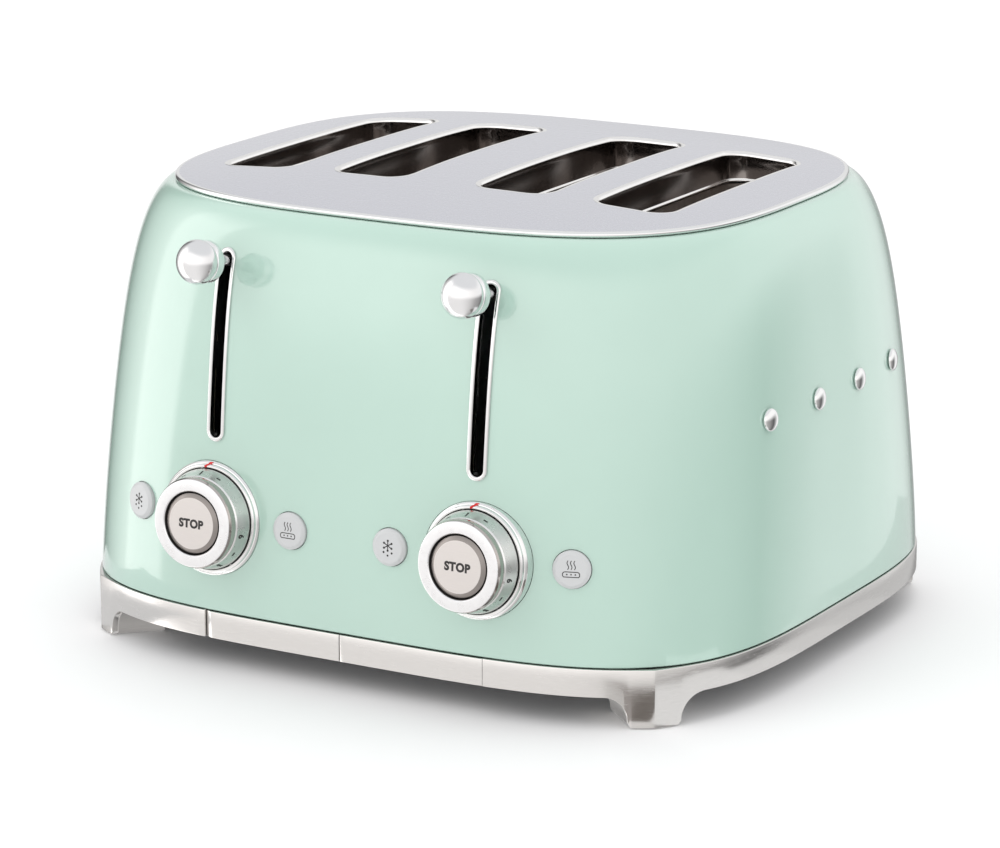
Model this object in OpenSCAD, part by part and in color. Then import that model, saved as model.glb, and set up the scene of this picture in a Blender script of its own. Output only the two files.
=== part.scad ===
// Four-slot pop-up toaster: leaning painted shell, domed steel top with four
// bread slots, two levers, two browning dials, and a cast base ring on four feet.
// +Z is up, the controls face -Y, and the body is symmetric about the plane X = 0.

/* [Body] */
// Half width of the shell where it meets the base ring
base_a = 167; // [160:1:172]
// Half depth of the shell where it meets the base ring
base_b = 150.8; // [145:1:156]
// Squareness of the plan outline at the base (2 is an ellipse)
base_n = 3.9; // [3.4:0.1:4.2]
// Half width of the opening under the top plate
rim_a = 142.9; // [140:1:146]
// Half depth of the opening under the top plate
rim_b = 122.2; // [120:1:125]
// Squareness of the plan outline at the top
rim_n = 3.08; // [2.9:0.1:3.3]
// Height of the shell's lower edge
shell_z0 = 26.6; // [26:0.2:28]
// Height of the shell's upper edge
shell_z1 = 202.4; // [201:0.2:204]
// Thickness of the shell's sheet steel
wall = 1.4; // [1:0.1:2]

/* [Top plate] */
// Height of the plate's rolled rim
rim_h = 2.3; // [2:0.1:3]
// Rise of the dome from the rim to the middle
dome_rise = 6.8; // [6:0.2:8]
// Length of a bread slot, front to back
slot_len = 133; // [126:1:136]
// Width of a bread slot
slot_w = 35.5; // [34:0.5:36]
// Corner radius of a bread slot
slot_r = 9; // [6:1:12]
// X of the middle of the two inner slots
slot_in = 36.2; // [36:0.2:37]
// X of the middle of the two outer slots
slot_out = 94.5; // [94:0.5:95]
// Depth of the turned-down lip round each slot
lip_depth = 11; // [8:1:12]

/* [Base] */
// Height of the underside of the base ring
ring_z0 = 13.8; // [13:0.2:15]
// Half width of the two crumb trays together
tray_half = 70.6; // [70:0.2:72]

/* [Controls] */
// X of each lever
lever_x = 65.6; // [65:0.2:66]
// Height of the lever knob's middle, bread up
lever_z = 184.3; // [184:0.1:185]
// Travel of each lever
lever_travel = 70; // [66:1:70]
// X of each browning dial
dial_x = 66.8; // [66:0.2:67]
// Height of each browning dial
dial_z = 68.4; // [68:0.2:69]
// Outer radius of the fixed dial bezel
dial_r = 25.4; // [25:0.1:26]
// Sideways distance from a dial to its two push buttons
button_dx = 41.6; // [41:0.2:42]
// Radius of a push button
button_r = 8.2; // [7.8:0.1:8.4]

/* [Hidden] */
// Shift that puts the middle of the overall box over the origin
y_off = 6.3;
// Profile of the leaning wall: a power curve, and a shoulder that turns in under the rim
lean_k = 0.46;
lean_m = 1.58;
lean_p = 7.43;
seg = 72;
levels = [0, 0.1, 0.22, 0.35, 0.48, 0.6, 0.7, 0.78, 0.85, 0.9, 0.94, 0.97, 0.99, 1];
dial_tilt = 4.4;
slot_xs = [-slot_out, -slot_in, slot_in, slot_out];
bh_y = 74.5;     // outer face of the front and rear bulkheads
slot_zs = [lever_z - lever_travel - 7.1, lever_z - 2.75]; // round ends of the lever slots
rod_x = 80;      // guide rod of each carriage
rod_y = -92.5;
rod_r = 3;
floor_z = 15.7;  // just above the bottom plate
$fn = 48;

// ---- the leaning wall as a rule ----
function un(z) = (z - shell_z0) / (shell_z1 - shell_z0);
function lean(u) = lean_k * pow(u, lean_m) + (1 - lean_k) * (1 - sqrt(max(0, 1 - pow(u, lean_p))));
function wa(z) = base_a + (rim_a - base_a) * lean(un(z));
function wb(z) = base_b + (rim_b - base_b) * lean(un(z));
function wn(z) = base_n + (rim_n - base_n) * un(z);
function se(a, b, n, N = seg, o = 0) = [for (i = [0:N - 1]) let (c = cos(360 * (i + o) / N), s = sin(360 * (i + o) / N))
  [a * sign(c) * pow(abs(c), 2 / n), b * sign(s) * pow(abs(s), 2 / n)]];
// Front surface: y at (x, z), and the outward direction there
function front_y(x, z) = -wb(z) * pow(1 - pow(abs(x) / wa(z), wn(z)), 1 / wn(z));
function front_n(x, z) = let (fx = (front_y(x + 1, z) - front_y(x - 1, z)) / 2,
  fz = (front_y(x, z + 1) - front_y(x, z - 1)) / 2) [fx, -1, fz] / norm([fx, -1, fz]);
// Right-hand surface: x at (y, z), and the outward direction there
function side_x(y, z) = wa(z) * pow(1 - pow(abs(y) / wb(z), wn(z)), 1 / wn(z));
function side_n(y, z) = let (fy = (side_x(y + 1, z) - side_x(y - 1, z)) / 2,
  fz = (side_x(y, z + 1) - side_x(y, z - 1)) / 2) [1, -fy, -fz] / norm([1, -fy, -fz]);
function lift3(pts, z) = [for (p = pts) [p[0], p[1], z]];
function dome_z(q) = shell_z1 + 0.2 + rim_h + dome_rise * (1 - pow(q, 2.3));

// Skin through a list of rings of points, closed on itself or capped at both ends
module rings(R, closed = false) {
  N = len(R[0]);
  M = len(R);
  polyhedron(points = [for (r = R) for (p = r) p],
    faces = concat(
      [for (j = [0:(closed ? M - 1 : M - 2)]) for (i = [0:N - 1])
        let (k = (j + 1) % M, h = (i + 1) % N)
        each [[j * N + i, k * N + i, k * N + h], [j * N + i, k * N + h, j * N + h]]],
      closed ? [] : [[for (i = [0:N - 1]) i], [for (i = [N - 1:-1:0]) (M - 1) * N + i]]),
    convexity = 6);
}
// Solid on the rim's outline: list of [share of the outline, height], turned by part of a step
module rim_solid(prof, o = 0) {
  rings([for (q = prof) lift3(se(rim_a * q[0], rim_b * q[0], rim_n, seg, o), q[1])]);
}
module prism(a, b, n, z0, z1, N = seg) {
  translate([0, 0, z0]) linear_extrude(z1 - z0) polygon(se(a, b, n, N));
}
module place() { translate([0, y_off, 0]) children(); }
// Right-hand version, or its mirror image on the left
module side(s) { mirror([s < 0 ? 1 : 0, 0, 0]) children(); }
// Frames on the front surface: local +Z points out of the body
module at_dial(s) { translate([s * dial_x, front_y(dial_x, dial_z), dial_z]) rotate([90 - dial_tilt, 0, 0]) children(); }
module at_front(x, z) {
  d = front_n(x, z);
  translate([x, front_y(x, z), z]) rotate([0, acos(d[2]), atan2(d[1], d[0])]) children();
}
module at_side(y, z) {
  d = side_n(y, z);
  translate([side_x(y, z), y, z]) rotate([0, acos(d[2]), atan2(d[1], d[0])]) children();
}
module at_lever(s) { translate([s * lever_x, -157.4, lever_z]) rotate([81, 0, 0]) children(); }
module rounded(w, l, r, h) {
  linear_extrude(h) {
    square([w - 2 * r, l], center = true);
    square([w, l - 2 * r], center = true);
    for (i = [-1, 1]) for (j = [-1, 1]) translate([i * (w / 2 - r), j * (l / 2 - r)]) circle(r);
  }
}
// Outline of a rounded rectangle as straight runs
function round_rect(w, l, r, N = 5) = [for (c = [[1, 1, 0], [-1, 1, 90], [-1, -1, 180], [1, -1, 270]]) for (i = [0:N])
  let (t = c[2] + 90 * i / N) [c[0] * (w / 2 - r) + r * cos(t), c[1] * (l / 2 - r) + r * sin(t)]];
module box(x0, x1, y0, y1, z0, z1) { translate([x0, y0, z0]) cube([x1 - x0, y1 - y0, z1 - z0]); }

// ---- casing ----
stud_ys = [-61.7, -18.8, 22, 61.7];
module body_shell() color([0.80, 0.90, 0.84]) difference() {
  rings(concat(
    [for (u = levels) let (z = shell_z0 + u * (shell_z1 - shell_z0)) lift3(se(wa(z), wb(z), wn(z)), z)],
    [for (j = [len(levels) - 1:-1:0]) let (z = shell_z0 + levels[j] * (shell_z1 - shell_z0))
      lift3(se(wa(z) - wall, wb(z) - wall, wn(z)), z)]), true);
  for (s = [-1, 1]) {
    // lever slot
    box(s * lever_x - 4.1, s * lever_x + 4.1, -160, -110, slot_zs[0], slot_zs[1]);
    for (z = slot_zs) translate([s * lever_x, -110, z]) rotate([90, 0, 0]) cylinder(r = 4.1, h = 50);
    at_dial(s) translate([0, 0, -14]) cylinder(r = dial_r + 0.15, h = 28);
    for (d = [-1, 1]) at_front(s * dial_x + d * button_dx, dial_z + 0.3)
      translate([0, 0, -8]) cylinder(r = button_r + 0.3, h = 16);
  }
  translate([0, 130, 44]) rotate([-90, 0, 0]) cylinder(r = 8.1, h = 40);
  for (y = stud_ys) at_side(y, 122) translate([0, 0, -8]) cylinder(r = 1.4, h = 16);
}
module top_plate() color([0.78, 0.78, 0.80]) difference() {
  rim_solid(concat([[0.975, shell_z1 + 3.4 - lip_depth], [0.975, shell_z1 + 0.2], [1, shell_z1 + 0.2]],
    [for (q = [1, 0.95, 0.88, 0.78, 0.66, 0.52, 0.36, 0.2, 0.06]) [q, dome_z(q)]]));
  difference() {
    rim_solid(concat([[0.966, 188]],
      [for (q = [0.966, 0.9, 0.8, 0.66, 0.52, 0.36, 0.2, 0.06]) [q, dome_z(q) - 1.3]]), 0.5);
    for (x = slot_xs) translate([x, 0, 180]) linear_extrude(40) polygon(round_rect(slot_w + 1.6, slot_len + 1.6, slot_r + 0.8));
  }
  for (x = slot_xs) translate([x, 0, 180]) linear_extrude(40) polygon(round_rect(slot_w, slot_len, slot_r));
}
// Sheet-steel frame under each slot, with an oval window near the back
module slot_liners() color([0.36, 0.33, 0.31]) for (x = slot_xs) difference() {
  translate([x, 0, 168]) rounded(slot_w + 4.2, slot_len + 4.2, slot_r + 2, 26);
  translate([x, 0, 160]) rounded(slot_w + 2.2, slot_len + 2.2, slot_r + 1, 40);
  for (y = [-44, 44]) translate([x - 30, y, 181]) rotate([0, 90, 0]) {
    box(-3, 3, -7, 7, 0, 60);
    for (d = [-7, 7]) translate([0, d, 0]) cylinder(r = 3, h = 60);
  }
}

// ---- base ----
ring_o = 0.6;
module ring_solid(w) difference() {
  prism(base_a + ring_o, base_b + ring_o, base_n, ring_z0, shell_z0 - 0.4, 120);
  prism(base_a + ring_o - w, base_b + ring_o - w, base_n, 0, 40, 120);
}
// Corner foot: flat-bottomed tab that widens into the ring through hollow fillets
module foot_tab() {
  translate([139.7, -126.3, 0]) rotate([0, 0, 47.9]) rotate([90, 0, 0]) translate([0, 0, -30])
    linear_extrude(60) polygon(concat([[-9.5, 0.6], [11, 0.6], [12.2, 2]],
      [for (t = [0:15:90]) [24.2 - 12 * cos(t), 2 + 11.8 * sin(t)]],
      [for (t = [90:-15:0]) [-20.2 + 9.6 * cos(t), 2 + 11.8 * sin(t)]]));
}
module base_ring() color([0.80, 0.80, 0.81]) difference() {
  union() {
    difference() {
      ring_solid(3.2);
      box(-tray_half, tray_half, -170, -100, 0, 40);
    }
    for (mx = [0, 1]) for (my = [0, 1]) mirror([mx, 0, 0]) mirror([0, my, 0])
      intersection() {
        difference() {
          prism(base_a + ring_o, base_b + ring_o, base_n, 0, ring_z0, 120);
          prism(base_a - 26, base_b - 26, base_n, -1, 20, 120);
        }
        foot_tab();
      }
  }
  for (i = [-1, 1]) for (j = [-1, 1]) translate([i * 132.5, j * 119.5, -1]) cylinder(r = 5.1, h = 3.6);
}
module foot_pads() color([0.16, 0.16, 0.17])
  for (i = [-1, 1]) for (j = [-1, 1]) translate([i * 132.5, j * 119.5, 0]) cylinder(r = 5, h = 2.5);
module bottom_plate() color([0.20, 0.20, 0.21]) difference() {
  prism(base_a - 3.2, base_b - 3.2, base_n, 14.2, 15.6);
  box(-tray_half - 1, tray_half + 1, -170, -140.5, 0, 40);
  for (i = [-1, 1]) for (j = [-1, 1]) translate([i * 104, j * 92, 0]) cylinder(r = 2.3, h = 40);
  for (i = [-1, 1]) for (k = [0:7]) box(i * 108 - 14, i * 108 + 14, -51 + 14 * k, -47 + 14 * k, 0, 40);
}
module base_screws() color([0.55, 0.55, 0.57])
  for (i = [-1, 1]) for (j = [-1, 1]) translate([i * 104, j * 92, 0]) difference() {
    union() {
      translate([0, 0, 11.9]) cylinder(r = 4, h = 2.3);
      translate([0, 0, 14.1]) cylinder(r = 2.2, h = 9);
    }
    box(-2.6, 2.6, -0.5, 0.5, 11, 13);
    box(-0.5, 0.5, -2.6, 2.6, 11, 13);
  }
module crumb_tray() {
  intersection() {
    difference() {
      prism(base_a + ring_o, base_b + ring_o, base_n, ring_z0 + 0.1, shell_z0 - 0.5, 120);
      prism(base_a - 8, base_b - 8, base_n, 0, 40, 120);
    }
    box(0.15, tray_half - 0.25, -170, -130, 0, 40);
  }
  difference() {
    box(2, 68.4, -144, 72, 15.9, 25.4);
    box(3, 67.4, -143, 71, 16.9, 30);
  }
}
module crumb_tray_right() color([0.80, 0.80, 0.81]) side(1) crumb_tray();
module crumb_tray_left() color([0.80, 0.80, 0.81]) side(-1) crumb_tray();

// ---- toasting chamber ----
module bulkhead_sheet() {
  difference() {
    box(-122.4, 122.4, 0, 1, 27, 192);
    for (x = slot_xs) box(x - 2.5, x + 2.5, -1, 2, 47, 131);
  }
  for (s = [-1, 1]) side(s) box(70.4, 122.4, 0, 1, floor_z, 28);
  box(-1, 1, 0, 1, floor_z, 28);
}
module front_bulkhead() color([0.62, 0.62, 0.64]) {
  translate([0, -bh_y, 0]) bulkhead_sheet();
  for (s = [-1, 1]) side(s) {
    difference() {
      union() {
        box(70, 90, -100, -bh_y + 1, 190.5, 192);
        box(70, 90, -100, -bh_y + 1, floor_z, 17);
      }
      translate([rod_x, rod_y, 0]) cylinder(r = rod_r + 0.02, h = 230);
    }
  }
}
module rear_bulkhead() color([0.62, 0.62, 0.64]) difference() {
  translate([0, bh_y - 1, 0]) bulkhead_sheet();
}
module centre_divider() color([0.62, 0.62, 0.64]) box(-0.6, 0.6, -73.3, 73.3, floor_z, 190);
// Outer wall of the chamber, with a chute at its foot that leads crumbs inward
module heat_shield() {
  translate([0, 73.3, 0]) rotate([90, 0, 0]) linear_extrude(146.6)
    polygon([[121.2, floor_z], [122.2, floor_z], [122.2, 190], [121.2, 190], [121.2, 47],
      [70.9, 29], [70.9, 27.6], [121.2, 45.4]]);
}
module heat_shield_left() color([0.66, 0.66, 0.67]) side(-1) heat_shield();
module heat_shield_right() color([0.66, 0.66, 0.67]) side(1) heat_shield();
// Mica boards: one each side of the pair of slots and one between them
module element_boards() for (x = [14, (slot_in + slot_out) / 2, 117]) difference() {
  box(x - 0.5, x + 0.5, -73.3, 73.3, 54, 165);
  for (k = [0:5]) box(x - 2, x + 2, -68, -64, 64 + 16 * k, 72 + 16 * k);
  for (k = [0:5]) box(x - 2, x + 2, 64, 68, 64 + 16 * k, 72 + 16 * k);
}
module element_boards_left() color([0.72, 0.66, 0.52]) side(-1) element_boards();
module element_boards_right() color([0.72, 0.66, 0.52]) side(1) element_boards();
// Self-centring wire rack beside the bread
module rack(x) translate([x, 0, 0]) {
  for (z = [62, 163]) translate([0, -66, z]) rotate([-90, 0, 0]) cylinder(r = 1, h = 132, $fn = 16);
  for (k = [-2:2]) translate([0, 27.5 * k, 62]) cylinder(r = 0.8, h = 101, $fn = 16);
}
module racks(d) for (x = [slot_in, slot_out]) rack(x + d * 15.5);
module bread_guides_right_inward() color([0.70, 0.70, 0.72]) racks(1);
module bread_guides_right_outward() color([0.70, 0.70, 0.72]) racks(-1);
module bread_guides_left_inward() color([0.70, 0.70, 0.72]) side(-1) racks(1);
module bread_guides_left_outward() color([0.70, 0.70, 0.72]) side(-1) racks(-1);

// ---- lifting gear ----
module carriage() {
  difference() {
    union() {
      box(72, 88, -99, -86, 168, 188);
      box(72, 88, -99, -86, 118, 126);
      box(55, 88, -86.2, -84, 118, 188);
      box(33, 98, -86, -84, 118, 130);
      for (x = [slot_in, slot_out]) box(x - 1.5, x + 1.5, -84.5, -69.6, 120, 128);
    }
    translate([rod_x, rod_y, 100]) cylinder(r = rod_r + 0.06, h = 100);
  }
}
module carriage_left() color([0.60, 0.60, 0.62]) side(-1) carriage();
module carriage_right() color([0.60, 0.60, 0.62]) side(1) carriage();
// Comb-topped bar that the slice stands on
module lifter(x) {
  box(x - 6, x + 6, -68.6, 66, 124, 126);
  box(x - 4, x + 4, -69.5, -68.5, 120, 126);
  for (k = [0:10]) box(x - 5, x + 5, -62 + 12 * k, -59 + 12 * k, 125.9, 127.4);
}
module bread_lifter_outer_left() color([0.66, 0.66, 0.68]) lifter(-slot_out);
module bread_lifter_inner_left() color([0.66, 0.66, 0.68]) lifter(-slot_in);
module bread_lifter_inner_right() color([0.66, 0.66, 0.68]) lifter(slot_in);
module bread_lifter_outer_right() color([0.66, 0.66, 0.68]) lifter(slot_out);
module lever_arm(s) {
  translate([s * lever_x, 0, 0]) difference() {
    box(-1.8, 1.8, -124, -86.3, 174.6, 183.2);
    translate([0, -105, 178.9]) rotate([0, 90, 0]) cylinder(r = 2, h = 10, center = true);
  }
  at_lever(s) translate([0, 0, -35]) cylinder(r = 2.5, h = 30);
}
module lever_arm_left() color([0.62, 0.62, 0.64]) lever_arm(-1);
module lever_arm_right() color([0.62, 0.62, 0.64]) lever_arm(1);
// Turned collar behind the ball
module lever_collar(s) at_lever(s) rotate_extrude()
  polygon([[2.52, -10.6], [6.6, -10.6], [6.9, -10.2], [6.9, -9.2], [5.6, -8.2], [2.52, -8.2]]);
module lever_collar_left() color([0.90, 0.90, 0.91]) lever_collar(-1);
module lever_collar_right() color([0.90, 0.90, 0.91]) lever_collar(1);
// Domed cap on a flat disc, with a groove between them
module lever_ball(s) at_lever(s) difference() {
  rotate_extrude() polygon(concat([for (t = [90:-7.5:0]) [9.75 * cos(t), 7.6 * sin(t) - 0.4]],
    [[9.5, -1.5], [8.3, -2.05], [8.3, -2.6], [9.3, -3.2], [9.3, -7.4], [8.8, -7.9], [0, -8.1]]));
  translate([0, 0, -9]) cylinder(r = 2.52, h = 4.3);
}
module lever_ball_left() color([0.82, 0.82, 0.84]) lever_ball(-1);
module lever_ball_right() color([0.82, 0.82, 0.84]) lever_ball(1);
module armature() difference() {
  box(52, 68, -104, -86.05, 114, 117.9);
  translate([60, -97, 113]) cylinder(r = 1.6, h = 6);
}
module armature_left() color([0.45, 0.45, 0.47]) side(-1) armature();
module armature_right() color([0.45, 0.45, 0.47]) side(1) armature();
module guide_rod(s) translate([s * rod_x, rod_y, floor_z]) cylinder(r = rod_r, h = 192.4 - floor_z);
module guide_rod_left() color([0.75, 0.75, 0.77]) guide_rod(-1);
module guide_rod_right() color([0.75, 0.75, 0.77]) guide_rod(1);
// Coil round the rod: 11 turns of round wire
module lift_spring(s) translate([s * rod_x, rod_y, 0])
  rings([for (i = [0:132]) let (t = i / 132, w = 360 * 11 * t, z = 18 + 98.6 * t)
    [for (k = [0:4]) let (f = 72 * k, r = 5.4 + 0.7 * sin(f)) [r * cos(w), r * sin(w), z + 0.7 * cos(f)]]]);
module lift_spring_left() color([0.70, 0.70, 0.72]) lift_spring(-1);
module lift_spring_right() color([0.70, 0.70, 0.72]) lift_spring(1);
// Holding magnet on its bracket
module electromagnet() {
  box(51, 69, -106, -bh_y - 0.1, 27, 28.2);
  translate([60, -97, 28.1]) cylinder(r = 8, h = 11);
  translate([60, -97, 39]) cylinder(r = 3.4, h = 4.4);
  box(51, 52.2, -104, -90, 28, 43.4);
  box(67.8, 69, -104, -90, 28, 43.4);
}
module electromagnet_left() color([0.60, 0.36, 0.20]) side(-1) electromagnet();
module electromagnet_right() color([0.60, 0.36, 0.20]) side(1) electromagnet();
module mains_switch() {
  box(36, 47, -96, -bh_y - 0.1, 27, 38);
  box(38, 40, -94, -88, 37.9, 45);
  box(43, 45, -94, -88, 37.9, 45);
}
module mains_switch_left() color([0.12, 0.12, 0.13]) side(-1) mains_switch();
module mains_switch_right() color([0.12, 0.12, 0.13]) side(1) mains_switch();

// ---- front controls ----
// Stadium outline on the front surface, ccw as seen from the front: two round ends joined by stepped straight runs
function stadium(s, w, d) = [for (k = [0, 1]) for (i = [0:19]) let (
    t = 180 * k + 180 * min(i, 11) / 11, run = max(0, i - 11) / 9,
    x = s * lever_x + w * cos(t),
    z = slot_zs[1 - k] + w * sin(t) + (slot_zs[k] - slot_zs[1 - k]) * run)
  [x, front_y(x, z) - d, z]];
module lever_slot_bezel(s) rings([for (q = [[4, -3.4], [4, 0.06], [4.75, 0.06], [4.75, 0.6], [4.3, 1.1], [3.4, 1.1], [2.95, 0.7], [2.95, -3.4]])
  stadium(s, q[0], q[1])], true);
module lever_slot_bezel_left() color([0.86, 0.86, 0.87]) lever_slot_bezel(-1);
module lever_slot_bezel_right() color([0.86, 0.86, 0.87]) lever_slot_bezel(1);
module dial_bezel(s) at_dial(s) rotate_extrude()
  polygon([[4.6, -9], [dial_r, -9], [dial_r, 1.2], [25, 2], [24.4, 2.4], [24.2, 3.2], [23.6, 3.7],
    [22.9, 3.7], [22.6, 3.4], [22.6, -7.6], [4.6, -7.6]]);
module dial_bezel_left() color([0.86, 0.86, 0.87]) dial_bezel(-1);
module dial_bezel_right() color([0.86, 0.86, 0.87]) dial_bezel(1);
module dial_knob(s) at_dial(s) rotate_extrude()
  polygon([[2.2, -24], [4, -24], [4, 8.6], [17.4, 8.6], [19.6, 1], [22.2, 1], [22.2, 4.2], [20, 10.4],
    [20, 14.9], [19.2, 16], [14.7, 16.2], [14.7, 10.6], [2.2, 10.6]]);
module dial_knob_left() color([0.84, 0.84, 0.85]) dial_knob(-1);
module dial_knob_right() color([0.84, 0.84, 0.85]) dial_knob(1);
module stop_button(s) at_dial(s) rotate_extrude()
  polygon([[0, -22.4], [1.9, -22.4], [1.9, 13.2], [13.6, 13.2], [13.6, 15.7], [13.1, 16.2], [0, 16.2]]);
module stop_button_left() color([0.84, 0.82, 0.81]) stop_button(-1);
module stop_button_right() color([0.84, 0.82, 0.81]) stop_button(1);
module push_button(x) at_front(x, dial_z + 0.3) rotate_extrude()
  polygon([[0, -12.6], [3, -12.6], [3, -5], [button_r, -5], [button_r, 1.3], [7, 2.3], [0, 2.3]]);
module defrost_button_left() color([0.84, 0.84, 0.84]) push_button(-dial_x - button_dx);
module bagel_button_left() color([0.84, 0.84, 0.84]) push_button(-dial_x + button_dx);
module defrost_button_right() color([0.84, 0.84, 0.84]) push_button(dial_x - button_dx);
module bagel_button_right() color([0.84, 0.84, 0.84]) push_button(dial_x + button_dx);
// Board with the hollow-shaft dial sensor and its parts
module control_board(s) at_dial(s) {
  difference() {
    union() {
      box(-47, 47, -24, 22, -28.2, -26.6);
      box(-8, 8, -8, 8, -26.7, -15.5);
      box(-40, -30, -18, -10, -26.7, -23);
      box(28, 36, -20, -12, -26.7, -22);
    }
    translate([0, 0, -25]) cylinder(r = 4.06, h = 20);
  }
}
module control_board_left() color([0.10, 0.36, 0.20]) control_board(-1);
module control_board_right() color([0.10, 0.36, 0.20]) control_board(1);
// Plain round ornaments on the right-hand side
module side_studs() color([0.86, 0.86, 0.88]) for (y = stud_ys) at_side(y, 122) {
  translate([0, 0, -5]) cylinder(r = 1.2, h = 5.6);
  rotate_extrude() polygon(concat([[0, 0.35]], [for (t = [0:15:90]) [5 * cos(t), 0.9 + 1.9 * sin(t)]], [[0, 2.8]],
    [[0, 0.35]]));
}
module cord_gland() color([0.10, 0.10, 0.11]) translate([0, 0, 44]) rotate([-90, 0, 0]) difference() {
  union() {
    translate([0, 0, 139]) cylinder(r = 8, h = 12.4);
    translate([0, 0, 151.2]) cylinder(r = 11, h = 1.8);
  }
  translate([0, 0, 130]) cylinder(r = 3.6, h = 40);
}

place() body_shell();
place() top_plate();
place() base_ring();
place() foot_pads();
place() bottom_plate();
place() crumb_tray_left();
place() crumb_tray_right();
place() front_bulkhead();
place() rear_bulkhead();
place() centre_divider();
place() heat_shield_left();
place() heat_shield_right();
place() slot_liners();
place() element_boards_left();
place() element_boards_right();
place() bread_guides_left_inward();
place() bread_guides_left_outward();
place() bread_guides_right_inward();
place() bread_guides_right_outward();
place() carriage_left();
place() carriage_right();
place() bread_lifter_outer_left();
place() bread_lifter_inner_left();
place() bread_lifter_inner_right();
place() bread_lifter_outer_right();
place() lever_arm_left();
place() lever_arm_right();
place() lever_collar_left();
place() lever_collar_right();
place() lever_ball_left();
place() lever_ball_right();
place() armature_left();
place() armature_right();
place() guide_rod_left();
place() guide_rod_right();
place() lift_spring_left();
place() lift_spring_right();
place() electromagnet_left();
place() electromagnet_right();
place() mains_switch_left();
place() mains_switch_right();
place() lever_slot_bezel_left();
place() lever_slot_bezel_right();
place() dial_bezel_left();
place() dial_bezel_right();
place() dial_knob_left();
place() dial_knob_right();
place() stop_button_left();
place() stop_button_right();
place() defrost_button_left();
place() defrost_button_right();
place() bagel_button_left();
place() bagel_button_right();
place() control_board_left();
place() control_board_right();
place() side_studs();
place() cord_gland();
place() base_screws();
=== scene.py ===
import bpy
import bmesh
import math
import numpy as np
from mathutils import Matrix, Vector


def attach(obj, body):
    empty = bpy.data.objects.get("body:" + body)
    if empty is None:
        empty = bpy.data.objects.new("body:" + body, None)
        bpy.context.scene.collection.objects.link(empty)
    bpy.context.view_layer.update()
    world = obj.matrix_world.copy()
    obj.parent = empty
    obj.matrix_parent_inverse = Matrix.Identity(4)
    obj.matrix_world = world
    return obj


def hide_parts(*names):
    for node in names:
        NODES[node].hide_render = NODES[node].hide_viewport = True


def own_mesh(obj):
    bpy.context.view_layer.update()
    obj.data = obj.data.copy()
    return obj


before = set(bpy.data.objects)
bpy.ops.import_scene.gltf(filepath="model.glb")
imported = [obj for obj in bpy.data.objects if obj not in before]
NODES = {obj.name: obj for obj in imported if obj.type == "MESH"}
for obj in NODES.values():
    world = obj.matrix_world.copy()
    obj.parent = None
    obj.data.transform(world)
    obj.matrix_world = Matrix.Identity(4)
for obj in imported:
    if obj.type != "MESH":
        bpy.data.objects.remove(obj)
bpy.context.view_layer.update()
scene = bpy.context.scene
root_col = scene.collection
YO = 6.3          # the body's middle sits this far behind the frame's origin, mm
SIDES = {"left": -1, "right": 1}

# ------------------------------------------------------------------ camera
cam_data = bpy.data.cameras.new("camera")
cam = bpy.data.objects.new("camera", cam_data)
root_col.objects.link(cam)
eye = Vector((0.8984, -1.5703, 0.5597))
aim = Vector((-0.0051, 0.0034, 0.0855))
cam.rotation_mode = "QUATERNION"
cam.location = eye
cam.rotation_quaternion = (aim - eye).to_track_quat("-Z", "Y") @ Matrix.Rotation(math.radians(-0.09), 3, "Z").to_quaternion()
cam_data.lens = 147.5
cam_data.sensor_width = 36
cam_data.clip_start = 0.05
cam_data.clip_end = 60
scene.camera = cam

# ------------------------------------------------------------------ the body's rules (mm, body-centred)
A0, B0, N0 = 167.0, 150.8, 3.9
A1, B1, N1 = 142.9, 122.2, 3.08
Z0, Z1 = 26.6, 202.4
WALL = 1.4


def lean(u):
    u = np.clip(u, 0, 1)
    return 0.46 * u ** 1.58 + 0.54 * (1 - np.sqrt(np.maximum(0, 1 - u ** 7.43)))


def dims(z):
    u = (np.asarray(z, float) - Z0) / (Z1 - Z0)
    k = lean(u)
    return A0 + (A1 - A0) * k, B0 + (B1 - B0) * k, N0 + (N1 - N0) * np.clip(u, 0, 1)


def field(x, y, z):
    a, b, n = dims(z)
    return (np.abs(x) / a) ** n + (np.abs(y) / b) ** n


def shell_normal(p):
    """Outward direction of the leaning wall at points p (n, 3)."""
    x, y, z = p[:, 0], p[:, 1], p[:, 2]
    a, b, n = dims(z)
    gx = n * np.sign(x) * np.abs(x) ** (n - 1) / a ** n
    gy = n * np.sign(y) * np.abs(y) ** (n - 1) / b ** n
    hi = np.minimum(z + 0.05, Z1 - 1e-3)
    lo = hi - 0.1
    gz = (field(x, y, hi) - field(x, y, lo)) / 0.1
    g = np.stack([gx, gy, gz], 1)
    return g / np.linalg.norm(g, axis=1)[:, None]


def front_y(x, z):
    a, b, n = dims(z)
    return float(-b * (1 - (abs(x) / a) ** n) ** (1 / n))


def side_x(y, z):
    a, b, n = dims(z)
    return float(a * (1 - (abs(y) / b) ** n) ** (1 / n))


def outline(a, b, n, count, ts=None):
    """Points spread evenly by length round a squared ellipse, starting on +X, and their outward directions."""
    th = np.linspace(0, 2 * math.pi, 24001)
    c, s = np.cos(th), np.sin(th)
    x = a * np.sign(c) * np.abs(c) ** (2 / n)
    y = b * np.sign(s) * np.abs(s) ** (2 / n)
    run = np.concatenate([[0], np.cumsum(np.hypot(np.diff(x), np.diff(y)))])
    at = (np.arange(count) / count if ts is None else np.asarray(ts)) * run[-1]
    px, py = np.interp(at, run, x), np.interp(at, run, y)
    gx = np.sign(px) * np.abs(px) ** (n - 1) / a ** n
    gy = np.sign(py) * np.abs(py) ** (n - 1) / b ** n
    m = np.hypot(gx, gy)
    return np.stack([px, py], 1), np.stack([gx / m, gy / m], 1), run[-1]


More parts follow.
